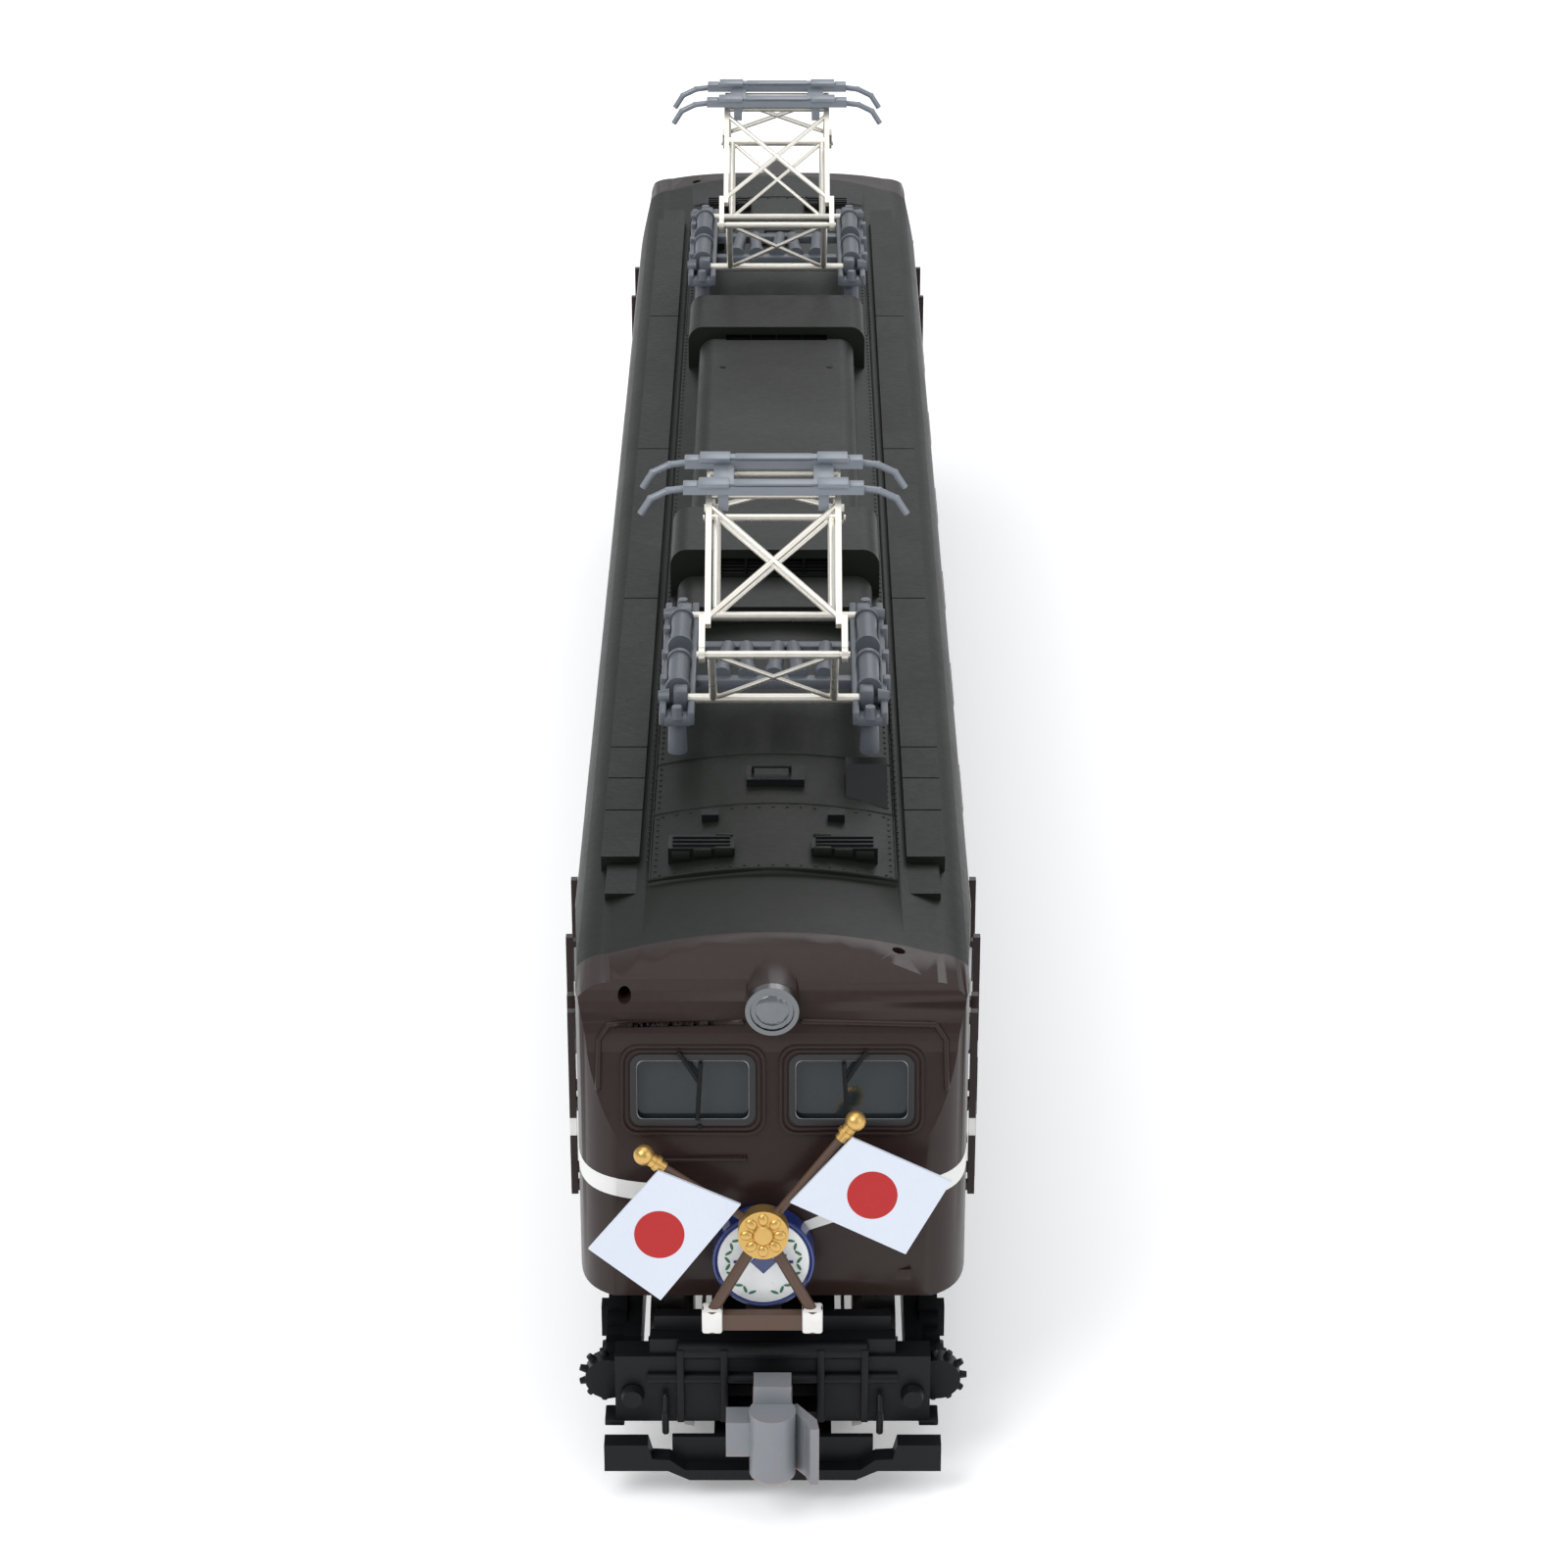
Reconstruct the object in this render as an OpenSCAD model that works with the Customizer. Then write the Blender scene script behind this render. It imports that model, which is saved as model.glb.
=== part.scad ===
// Model express electric locomotive, N gauge, wheel arrangement 2-C + C-2.
// The track runs along Y and the front end faces -Y. Z = 0 is the plane that the
// wheel flanges stand on, and X = 0, Y = 0 is the middle of the locomotive.

/* [Body] */
// Width of the body over its sides
body_w = 18.7; // [18.4:0.1:19.2]
// Distance from the middle to the tip of each nose
nose_y = 63.2; // [62.8:0.1:63.6]
// Height of the bottom edge of the body sides
sill_z = 8.8; // [8.7:0.05:9]
// Height at which the roof meets the sides
eaves_z = 22.4; // [22.2:0.1:22.6]
// Height of the roof arch in the middle
roof_z = 24.8; // [24.6:0.1:25]
// Thickness of the moulded shell
shell_t = 0.9; // [0.7:0.05:1]

/* [Running gear] */
// Distance between the running rails
gauge = 9; // [9:0.1:9.2]
// Tread diameter of the driving wheels
driver_d = 8.3; // [8.1:0.1:8.4]
// Tread diameter of the pilot wheels
pilot_d = 5.7; // [5.5:0.1:5.8]
// Depth of the wheel flanges
flange_h = 0.6; // [0.5:0.05:0.6]
// Distance between neighbouring driving axles
driver_pitch = 12.5; // [12.4:0.05:12.6]
// Distance between the axles of a pilot truck
pilot_pitch = 14; // [13.8:0.1:14.2]

/* [Pantographs] */
// Distance of each pantograph from the middle
panto_y = 33.2; // [32.8:0.1:33.6]
// Angle of the raised lower frames above the roof
panto_angle = 47; // [46:1:48]

/* [Fits] */
// Running clearance of shafts and pins in their holes
run = 0.04; // [0.02:0.01:0.05]

/* [Hidden] */

$fn = 32;
fuse = 0.02;                   // bite of one part of a solid into the next

brown = [0.24, 0.19, 0.17];
roof_grey = [0.29, 0.30, 0.28];
black = [0.09, 0.09, 0.10];
steel = [0.75, 0.75, 0.77];
grey_plastic = [0.42, 0.45, 0.50];

// Body outline
half_w = body_w / 2;
cab_y = 49;                    // the sides start to draw in here
cab_half_w = half_w - 0.45;    // half width where the nose curve starts
nose_root_y = nose_y - 6.2;
shoulder_r = 1.9;
arch_drop = 1.1;                // fall of the roof arch from its crown to the shoulders
panel_half_w = 5.8;            // raised middle panel of the roof
panel_rise = 0.3;
roof_end_y = 57.3;
panel_end_y = 51.5;            // the raised panel stops short of the roof's ends
fitting_seat = 0.012;          // the small fittings stand this far off the curved panel
brow_z = 21;                   // the forehead curve starts here
waist_z = 15.2;                // the front is upright below and raked above
rake = 1.6;

// Axle places
driver_ys = [for (i = [0:2]) 9 + i * driver_pitch];
pilot_ys = [45, 45 + pilot_pitch];
driver_z = driver_d / 2 + flange_h;
pilot_z = pilot_d / 2 + flange_h;
back_half = gauge / 2 - 0.8;   // inner faces of the wheels
wheel_w = 2;
axle_r = 0.75;
truck_y = driver_ys[1];
pilot_pivot_y = 40.2;
coupler_pivot_y = 62.6;

// Gears: module 0.25
gear_module = 0.25;
axle_teeth = 20;
idler_teeth = 34;
axle_pitch_r = axle_teeth * gear_module / 2;
idler_pitch_r = idler_teeth * gear_module / 2;
idler_dz = sqrt(pow(axle_pitch_r + idler_pitch_r, 2) - pow(driver_pitch / 2, 2));
idler_z = driver_z + idler_dz;
idler_ys = [for (i = [0:1]) driver_ys[i] + driver_pitch / 2];
tooth_h = 0.2;                 // tooth height above the pitch circle
root_h = 0.28;
worm_core_r = 1;
worm_r = 1.4;
shaft_z = idler_z + idler_pitch_r + tooth_h + worm_core_r + 0.12;
worm_turns = 5;
worm_lead = PI * gear_module;
worm_len = worm_turns * worm_lead;
cup_r = 2.15;
cup_bore_r = 1.75;
cup_y = 10.6;                  // middle of the cup on each worm
shaft_r = 0.6;

// Pantograph linkage, in a frame whose origin is the middle of the two main shafts
panto_z = 27.8;
main_half = 5.1;
lower_len = 5.4;
head_half = 1.5;
upper_len = main_half - head_half + lower_len;
knee_y = main_half + lower_len * cos(panto_angle);
knee_z = lower_len * sin(panto_angle);
upper_angle = acos((knee_y - head_half) / upper_len);
head_z = knee_z + upper_len * sin(upper_angle);
lower_half_w = 2.95;
upper_half_w = 3.15;
foot_half_w = 3.42;
tube_r = 0.2;
pin_r = 0.17;

// Flags and their stand: a plane in front of the nose that leans back a little
stand_y = -65;
stand_z = 13.5;
stand_lean = 10;
stand_boss = [-0.4, 0.3];
leg_feet = [[-2.7, -3.6], [1.8, -3.6]];
pole_tips = [[-5.7, 3.85], [3.7, 5.45]];
flag_left_corners = [[-5.05, 3.25], [-1.4, 1.65], [-5, -2.9], [-8.2, -0.45]];
flag_right_corners = [[3.55, 4.8], [7.95, 2.75], [5.95, -0.7], [0.8, 1.75]];

// ---------------------------------------------------------------- helpers

module both_ends() {
    children();
    rotate(180) children();
}

module both_sides() {
    children();
    mirror([1, 0, 0]) children();
}

// The rear assemblies are the front ones turned half a turn about Z
module at_rear() rotate(180) children();

// Round bar along X
module bar_x(r, from, to) translate([from, 0, 0]) rotate([0, 90, 0]) cylinder(r = r, h = to - from);

// Round bar along Y
module bar_y(r, from, to) translate([0, from, 0]) rotate([-90, 0, 0]) cylinder(r = r, h = to - from);

// Box given by its two corners
module block(a, b) translate(a) cube(b - a);

// Flat outline in Y and Z, extruded along X between two places
module slab_x(from, to) translate([from, 0, 0]) rotate([90, 0, 90]) linear_extrude(to - from) children();

// Round rod between two points of the X = const plane, r thick
module rod(p, q, r) {
    d = q - p;
    len = norm(d);
    translate(p) rotate([0, acos(d[2] / len), atan2(d[1], d[0])]) cylinder(r = r, h = len, $fn = 16);
}

// Spur gear about X: flat-topped teeth that narrow outwards, with the bore left solid
module gear_x(teeth, pitch_r, width, turn) {
    root_r = pitch_r - root_h;
    tip_r = pitch_r + tooth_h;
    step = 360 / teeth;
    rotate([0, 90, 0]) rotate(turn) linear_extrude(width, center = true) {
        circle(r = root_r, $fn = 48);
        for (i = [0:teeth - 1])
            rotate(i * step)
                polygon([[root_r - 0.1, -step * root_r * PI / 900], [tip_r, -step * tip_r * PI / 1500],
                         [tip_r, step * tip_r * PI / 1500], [root_r - 0.1, step * root_r * PI / 900]]);
    }
}

// ------------------------------------------------------------ body outline

// Cross-section in X and Z, drawn smaller by inset
module section_outline(inset) {
    w = half_w - inset;
    top = roof_z - inset;
    shoulder_z = top - arch_drop - shoulder_r;
    arch_half = w - shoulder_r;
    arch_r = (arch_half * arch_half + arch_drop * arch_drop) / (2 * arch_drop);
    translate([-w, sill_z - (inset > 0 ? 2 : 0)]) square([2 * w, shoulder_z - sill_z + (inset > 0 ? 2 : 0)]);
    for (s = [-1, 1]) translate([s * arch_half, shoulder_z]) circle(r = shoulder_r, $fn = 48);
    intersection() {
        translate([0, top - arch_r]) circle(r = arch_r, $fn = 120);
        translate([-arch_half, shoulder_z - 1]) square([2 * arch_half, 10]);
    }
}

// Side view of half the body: upright nose, raked windows, forehead curve
function side_points(inset) = [
    [0, sill_z - 3], [nose_y - 0.7 - inset, sill_z - 3], [nose_y - 0.7 - inset, sill_z],
    [nose_y - inset, sill_z + 1.4], [nose_y - inset, waist_z],
    for (t = [0:6:90]) [nose_y - rake - inset - 6.4 * (1 - cos(t)), brow_z + (4.2 - inset) * sin(t)],
    [0, brow_z + 4.2 - inset]
];

// Plan of half the body: parallel sides, drawn-in cab, rounded bowed nose
nose_power = 2 / 4.4;
function plan_points(inset) = [
    [half_w - inset, 0], [half_w - inset, cab_y],
    for (t = [0:5:90]) [(cab_half_w - inset) * pow(cos(t), nose_power),
                          nose_root_y + (nose_y - nose_root_y - inset) * pow(sin(t), nose_power)],
    [0, 0]
];

// The whole outer or inner form of the body
module body_form(inset) {
    intersection() {
        rotate([90, 0, 0]) linear_extrude(2 * nose_y + 4, center = true) section_outline(inset);
        union() both_ends() rotate([90, 0, -90]) linear_extrude(body_w + 2, center = true) polygon(side_points(inset));
        union() both_ends() both_sides() mirror([0, 1, 0]) linear_extrude(40) polygon(plan_points(inset));
    }
}

// The roof outline over most of the length, raised by rise: parts that sit on it are cut to it
module roof_bed(rise) translate([0, 0, rise]) rotate([90, 0, 0])
    linear_extrude(2 * cab_y + 8, center = true) section_outline(0);

// Everything above the paint line of the roof
module roof_region(grow) block([-half_w - 1, -roof_end_y - grow, eaves_z - grow], [half_w + 1, roof_end_y + grow, 30]);

// Window places, shared by the shell and the glazing
front_win = [0.85, 6.25];
front_win_z = [17.85, 20.8];
side_win_ys = [for (i = [-3:3]) i * 13];
cab_win_y = 52.5;
door_y = 46.5;

module window_box(w, h, depth, r) {
    linear_extrude(depth) {
        square([w - 2 * r, h], center = true);
        square([w, h - 2 * r], center = true);
        for (sx = [-1, 1], sy = [-1, 1]) translate([sx * (w / 2 - r), sy * (h / 2 - r)]) circle(r = r);
    }
}

// Cutters, grown by g, for every window of the body
module window_cutters(g) {
    w = front_win[1] - front_win[0];
    both_ends() both_sides()
        translate([(front_win[0] + front_win[1]) / 2, -nose_y + 4, (front_win_z[0] + front_win_z[1]) / 2])
            rotate([90, 0, 0]) window_box(w + 2 * g, 2.95 + 2 * g, 6, 0.45);
    for (s = [-1, 1]) {
        for (y = side_win_ys) translate([s * (half_w - 2), y, 18.6]) rotate([90, 0, s * 90])
            window_box(4.6 + 2 * g, 3.4 + 2 * g, 4, 0.4);
        for (y = [-cab_win_y, cab_win_y]) translate([s * (half_w - 3), y, 18.8]) rotate([90, 0, s * 90])
            window_box(3.6 + 2 * g, 3.6 + 2 * g, 5, 0.4);
    }
}

headlight_z = 23.3;
headlight_y = -62.0;
headlight_r = 1.2;

module headlight_can(r, from, to) translate([0, 0, headlight_z]) bar_y(r, from, to);

// Marker holes of each forehead: one runs level through the left, one upright through the right
marker_r = 0.3;
marker_left = [-6.6, 23.3];    // X and Z
marker_right = [5.7, -57.9];   // X and Y

// --------------------------------------------------------------- body parts

module body_shell() color(brown) {
    difference() {
        union() {
            difference() {
                body_form(0);
                roof_region(0);
            }
            both_ends() headlight_can(headlight_r, headlight_y + 0.35, -roof_end_y - 0.4);
        }
        difference() {
            body_form(shell_t);
            both_ends() headlight_can(headlight_r, headlight_y + 0.35, -roof_end_y - 0.4);
        }
        window_cutters(0);
        both_ends() {
            headlight_can(0.8, headlight_y - 1, -roof_end_y);
            translate([marker_left[0], 0, marker_left[1]]) bar_y(marker_r, -nose_y - 1, -roof_end_y);
            translate([marker_right[0], marker_right[1], brow_z]) cylinder(r = marker_r, h = 6);
        }
        both_sides() for (y = [-door_y, door_y])
            block([half_w - 0.15, y - 1.9, sill_z + 1.2], [half_w + 1, y + 1.9, 21.2]);
    }
}

module roof_panel() color(roof_grey) {
    difference() {
        union() {
            intersection() {
                body_form(0);
                roof_region(0);
            }
            intersection() {
                translate([0, 0, panel_rise]) body_form(0);
                block([-panel_half_w, -panel_end_y, eaves_z], [panel_half_w, panel_end_y, 30]);
            }
        }
        body_form(shell_t);
    }
}

// Boards of unequal length with a narrow joint between neighbours, and a lower step at each end
walk_x = [6.3, 8.1];
walk_z = 24.35;
board_joints = [-48.8, -43.7, -40.1, -36.5, -17.5, 5, 28.7, 48.8];
board_gap = 0.12;
module roof_walkways() color(roof_grey) both_sides()
    difference() {
        union() {
            for (i = [0:len(board_joints) - 2])
                block([walk_x[0], board_joints[i] + board_gap / 2, 22.6],
                      [walk_x[1], board_joints[i + 1] - board_gap / 2, walk_z]);
            both_ends() block([walk_x[0], -51.9, 22.6], [walk_x[1] - 0.3, -48.9, walk_z - 0.35]);
        }
        roof_bed(0);
    }

module roof_fittings() color(black) both_ends() {
    panel_top = roof_z + panel_rise;
    difference() {
        union() {
            both_sides() block([1.8, -50.1, 24], [4.9, -48.7, panel_top + 0.35]);
            both_sides() block([2.6, -46.2, 24], [3.4, -45.6, panel_top + 0.2]);
            block([-1.3, -42.6, 24], [1.5, -41, panel_top + 0.35]);
            slab_x(3.5, 5.5) polygon([[-44.6, 24.2], [-40.8, 24.2], [-40.8, panel_top + 0.7], [-41.6, panel_top + 0.7]]);
        }
        roof_bed(panel_rise + fitting_seat);
    }
}

// One roof hood with a flat top and rounded shoulders
hood_foot_z = 23;              // below the roof, which trims the hoods
module hood(from, to, w, top) {
    shoulder = 0.9;
    rotate([90, 0, 0]) translate([0, 0, -to]) linear_extrude(to - from) {
        for (s = [-1, 1]) translate([s * (w - shoulder), top - shoulder]) circle(r = shoulder);
        translate([-w, hood_foot_z]) square([2 * w, top - shoulder - hood_foot_z]);
        translate([-w + shoulder, hood_foot_z]) square([2 * (w - shoulder), top - hood_foot_z]);
    }
}

module roof_hoods() color(roof_grey) difference() {
    union() {
        hood(-17.6, -11.4, 5.6, 27.2);
        hood(-10.6, 17.6, 4.7, 26.7);
        hood(18.4, 24.4, 5.4, 27.2);
        hood(-22.6, -18.4, 5.2, 26);
    }
    roof_bed(panel_rise);
    for (y = [-17.6, 18.4]) block([-3.1, y - 1, 25.7], [3.1, y + 0.5, 26.7]);
}

module window_glazing() color([0.2, 0.25, 0.28, 0.5]) {
    intersection() {
        difference() {
            body_form(shell_t);
            body_form(shell_t + 0.5);
        }
        window_cutters(0.5);
        difference() {
            block([-half_w, -nose_y, 16.2], [half_w, nose_y, 21.4]);
            both_sides() for (y = [-door_y, door_y]) block([5, y - 2.6, 10], [12, y + 2.6, 22]);
        }
    }
    intersection() {
        difference() {
            body_form(0.45);
            body_form(shell_t);
        }
        window_cutters(-0.03);
    }
}

module wipers() color(black) both_ends() both_sides()
    for (blade = [[[3.2, -61.95, 20.6], [3.35, -62.6, 18.1]], [[4.2, -61.8, 21.1], [3.25, -62.15, 19.7]]])
        rod(blade[0], blade[1], 0.1);

module headlight_rims() color(steel) both_ends() difference() {
    headlight_can(headlight_r, headlight_y - 0.1, headlight_y + 0.35);
    headlight_can(0.98, headlight_y - 1, headlight_y + 0.25);
    headlight_can(0.8, headlight_y - 1, headlight_y + 1);
}

module headlight_prisms() color([0.9, 0.92, 0.95, 0.6]) both_ends() {
    headlight_can(0.96, headlight_y, headlight_y + 0.24);
    headlight_can(0.78, headlight_y + 0.2, -roof_end_y - 0.2);
    block([-0.7, -roof_end_y - 0.3, 21.9], [0.7, -roof_end_y + 1.3, 23.4]);
}

rail_ys = [-57, -55.4, -49.6, -43.6];
module handrails() color(brown) both_ends() both_sides()
    for (y = rail_ys) {
        side = half_w - (half_w - cab_half_w) / (nose_root_y - cab_y) * max(0, -y - cab_y);
        x = side + 0.32;
        block([x - 0.16, y - 0.2, 11], [x + 0.16, y + 0.2, 20.6]);
        for (z = [11.4, 15.8, 20.2]) block([side, y - 0.2, z - 0.2], [x, y + 0.2, z + 0.2]);
    }

// ------------------------------------------------------- chassis and drive

motor_half_len = 5.5;
channel_half_w = 3.7;

// Room for everything that turns or swings between the two castings
module chassis_cutters() {
    block([-5.4, -7.4, 5], [5.4, 7.4, shaft_z + 4.6]);
    both_ends() {
        block([-5.4, -37.8, 5], [5.4, -7, idler_z + idler_pitch_r + 0.55]);
        block([-channel_half_w, -19.4, 5], [channel_half_w, -7, shaft_z + 2.6]);
        translate([0, -truck_y, 5]) cylinder(r = 1, h = 13.6);
        translate([0, -truck_y, 15.6]) cylinder(r = 1.75, h = 10);
        block([-7, -60, 5], [7, -38, 11.4]);
    }
    both_sides() for (y = driver_ys) both_ends() block([2.8, -y - 5.4, 5], [7.2, -y + 5.4, 10.6]);
}

// Half of the die-cast block, from the middle joint outwards
module chassis_half() difference() {
    union() {
        block([0.03, -50, 10.2], [7.9, 50, 20.6]);
        block([0.03, -44, 20.5], [3.2, 44, 21.4]);
    }
    chassis_cutters();
    for (y = [-26, 26]) translate([0, y, 18]) bar_x(0.8, -1, 9);
}

module chassis_right() color([0.45, 0.46, 0.48]) chassis_half();
module chassis_left() color([0.45, 0.46, 0.48]) mirror([1, 0, 0]) chassis_half();

module light_board() color([0.1, 0.35, 0.18]) {
    block([-3.2, -54, 21.4], [3.2, 54, 21.7]);
    both_ends() block([-0.7, -55.2, 21.4], [0.7, -53.9, 22.4]);
}

module motor_case() color(steel) difference() {
    intersection() {
        translate([0, 0, shaft_z]) bar_y(4.4, -motor_half_len, motor_half_len);
        block([-5, -10, shaft_z - 3.8], [5, 10, shaft_z + 3.8]);
    }
    translate([0, 0, shaft_z]) {
        bar_y(3.4, -motor_half_len + 0.6, motor_half_len - 0.6);
        bar_y(shaft_r + run, -10, 10);
    }
}

// Wound core with five poles on its shaft, and the commutator
module motor_armature() color([0.7, 0.4, 0.2]) translate([0, 0, shaft_z]) {
    rotate([90, 0, 0]) linear_extrude(6.8, center = true) {
        circle(r = 1.5);
        for (a = [0:72:288]) rotate(a) translate([1, -0.9]) square([2.1, 1.8]);
    }
    bar_y(shaft_r, -7.2, 7.2);
    bar_y(1.3, 3.3, 4.7);
}

module flywheels() color([0.7, 0.62, 0.35]) both_ends() translate([0, 0, shaft_z]) difference() {
    bar_y(2.4, -7.2, -5.7);
    bar_y(shaft_r, -8, -5);
}

module cardan_shafts() color(grey_plastic) both_ends() translate([0, 0, shaft_z]) {
    bar_y(0.45, -cup_y, -7.2);
    translate([0, -cup_y, 0]) sphere(r = 0.6, $fn = 24);
    difference() {
        bar_y(1.2, -7.6, -7.2);
        bar_y(0.4, -8, -7);
    }
}

// Worm with its neck and cup, lying along Y: one start, and a thread that stands clear of
// the idler's tooth at the middle of its length
module worm() {
    mid = -idler_ys[0];
    translate([0, 0, shaft_z]) {
        translate([0, mid + worm_len / 2, 0]) rotate([90, 0, 0])
            linear_extrude(worm_len, twist = -360 * worm_turns, slices = 12 * worm_turns) rotate(-90) {
                circle(r = worm_core_r, $fn = 12);
                polygon([[0.4, -0.7], [1.1, -0.8], [worm_r, 0], [1.1, 0.8], [0.4, 0.7]]);
            }
        bar_y(0.7, mid - worm_len / 2 - 1.2, mid - worm_len / 2 + 0.1);
        bar_y(0.8, mid + worm_len / 2 - 0.1, -cup_y - 1.4);
        difference() {
            bar_y(cup_r, -cup_y - 1.6, -cup_y + 1.1);
            bar_y(cup_bore_r, -cup_y - 1.3, -cup_y + 2);
        }
    }
}

module front_worm() color("white") worm();
module rear_worm() color("white") at_rear() worm();

module truck_screws() color(steel) both_ends() translate([0, -truck_y, 0]) {
    translate([0, 0, idler_z + 1.9]) cylinder(r = 0.9, h = 16.4 - idler_z - 1.9);
    translate([0, 0, 15.7]) cylinder(r = 1.6, h = 0.9);
}

module underfloor_boxes() color(black) {
    block([-7.6, -3.4, 3.4], [-3.4, 3.4, 10.2]);
    block([3.4, -3.4, 3.4], [7.6, 3.4, 10.2]);
    block([-3.4, -1.6, 7.4], [3.4, 1.6, 8.6]);
}

// ------------------------------------------------------------- driving truck

gearbox_half_w = 3.2;
truck_from = -38.9;
truck_to = -4.6;

module gearbox() difference() {
    union() {
        block([-gearbox_half_w, truck_from, 2], [gearbox_half_w, truck_to, 7]);
        block([-gearbox_half_w + 0.8, truck_from + 4, 6.9], [gearbox_half_w - 0.8, truck_to - 4.6, idler_z + 1.6]);
        block([-1.7, -truck_y - 1.6, idler_z + 1.5], [1.7, -truck_y + 1.6, idler_z + 4.7]);
        block([-1.9, -18.9, idler_z + 1.5], [1.9, -17.7, shaft_z + 1.4]);
        block([-1.7, truck_from - 2.6, 5.4], [1.7, truck_from + 1, 7.2]);
    }
    for (y = driver_ys) translate([0, -y, driver_z]) {
        bar_x(axle_r + run, -5, 5);
        bar_x(axle_pitch_r + tooth_h + 0.3, -0.9, 0.9);
    }
    for (y = idler_ys) translate([0, -y, idler_z]) {
        bar_x(0.5 + run, -2, 2);
        bar_x(idler_pitch_r + tooth_h + 0.35, -0.9, 0.9);
    }
    translate([0, -truck_y, idler_z]) cylinder(r = 0.9 + run, h = 6);
    translate([0, 0, shaft_z]) bar_y(0.7 + run, -20, -17);
    translate([0, -pilot_pivot_y, 0]) cylinder(r = 0.7 + run, h = 12);
}

module front_gearbox() color(black) gearbox();
module rear_gearbox() color(black) at_rear() gearbox();

// Outer frames with axle boxes and leaf springs, tied by bars that pass between the wheels
tie_ys = [-15.25, -27.75];
module side_frames() {
    both_sides() {
        difference() {
            block([6.15, truck_from, 5.6], [6.95, truck_to, 8.6]);
            for (y = driver_ys) translate([0, -y, driver_z]) bar_x(1.3, 6, 7.3);
        }
        for (y = driver_ys) {
            difference() {
                block([6.1, -y - 1.3, 3.4], [7.9, -y + 1.3, 6.2]);
                translate([0, -y, driver_z]) bar_x(0.5, 5, 6.9);
            }
            for (i = [0:3]) block([6.9, -y - 3.6 + i * 0.8, 6.3 + i * 0.42], [7.8, -y + 3.6 - i * 0.8, 6.7 + i * 0.42]);
            block([6.9, -y - 0.5, 6.1], [8.1, -y + 0.5, 8.1]);
            for (s = [-1, 1]) block([6.9, -y + s * 3.5 - 0.3, 4.6], [7.5, -y + s * 3.5 + 0.3, 6.7]);
        }
    }
    for (y = tie_ys) difference() {
        block([-6.3, y - 0.6, 5.9], [6.3, y + 0.6, 7]);
        block([-gearbox_half_w, y - 2, 4], [gearbox_half_w, y + 2, 12]);
    }
}

module front_side_frames() color(black) side_frames();
module rear_side_frames() color(black) at_rear() side_frames();

// Pair of wheels on an axle along X
module wheel_pair(d, axle_half) {
    r = d / 2;
    bar_x(axle_r, -axle_half, axle_half);
    both_sides() translate([back_half, 0, 0]) rotate([0, 90, 0]) {
        difference() {
            union() {
                cylinder(r1 = r + flange_h, r2 = r + flange_h - 0.1, h = 0.45, $fn = 64);
                translate([0, 0, 0.4]) cylinder(r1 = r + 0.05, r2 = r - 0.02, h = wheel_w - 0.4, $fn = 64);
            }
            translate([0, 0, wheel_w - 0.35]) cylinder(r = r - 0.55, h = 1, $fn = 48);
            cylinder(r = axle_r, h = 3 * wheel_w, center = true);
        }
        translate([0, 0, wheel_w - 0.6]) cylinder(r = 1.1, h = 0.5);
    }
}

// Turns that put each tooth opposite a gap, worked out along the train from the worm
idler_step = 360 / idler_teeth;
axle_step = 360 / axle_teeth;
lift = atan2(idler_dz, driver_pitch / 2);
function axle_turn(seen_from_idler, own, idler_turn) =
    own - axle_step * (0.5 - (seen_from_idler - idler_turn) / idler_step);
turn_axle_1 = axle_turn(90 - lift, 270 - lift, 0);
turn_axle_2 = axle_turn(270 + lift, 90 + lift, 0);
turn_idler_2 = 90 - lift - idler_step * (0.5 - (270 - lift - turn_axle_2) / axle_step);
turn_axle_3 = axle_turn(270 + lift, 90 + lift, turn_idler_2);
axle_turns = [turn_axle_1, turn_axle_2, turn_axle_3];

// Driving wheelset k of a truck, counted from the middle of the locomotive
module driver(k) translate([0, -driver_ys[k], driver_z]) {
    color(steel) wheel_pair(driver_d, 5.85);
    color("white") gear_x(axle_teeth, axle_pitch_r, 1.2, axle_turns[k]);
}
module driver_wheelset_1() driver(2);
module driver_wheelset_2() driver(1);
module driver_wheelset_3() driver(0);
module driver_wheelset_4() at_rear() driver(0);
module driver_wheelset_5() at_rear() driver(1);
module driver_wheelset_6() at_rear() driver(2);

module idler(i, turn) translate([0, -idler_ys[i], idler_z]) {
    bar_x(0.5, -1.9, 1.9);
    gear_x(idler_teeth, idler_pitch_r, 1.2, turn);
}
module front_idler_inner() color("white") idler(0, 0);
module front_idler_outer() color("white") idler(1, turn_idler_2);
module rear_idler_inner() color("white") at_rear() idler(0, 0);
module rear_idler_outer() color("white") at_rear() idler(1, turn_idler_2);

module pilot(i) {
    y = i < 2 ? -pilot_ys[1 - i] : pilot_ys[i - 2];
    color(steel) translate([0, y, pilot_z]) wheel_pair(pilot_d, 5.85);
}
module pilot_wheelset_1() pilot(0);
module pilot_wheelset_2() pilot(1);
module pilot_wheelset_3() pilot(2);
module pilot_wheelset_4() pilot(3);

// --------------------------------------------------------------- pilot truck

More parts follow.
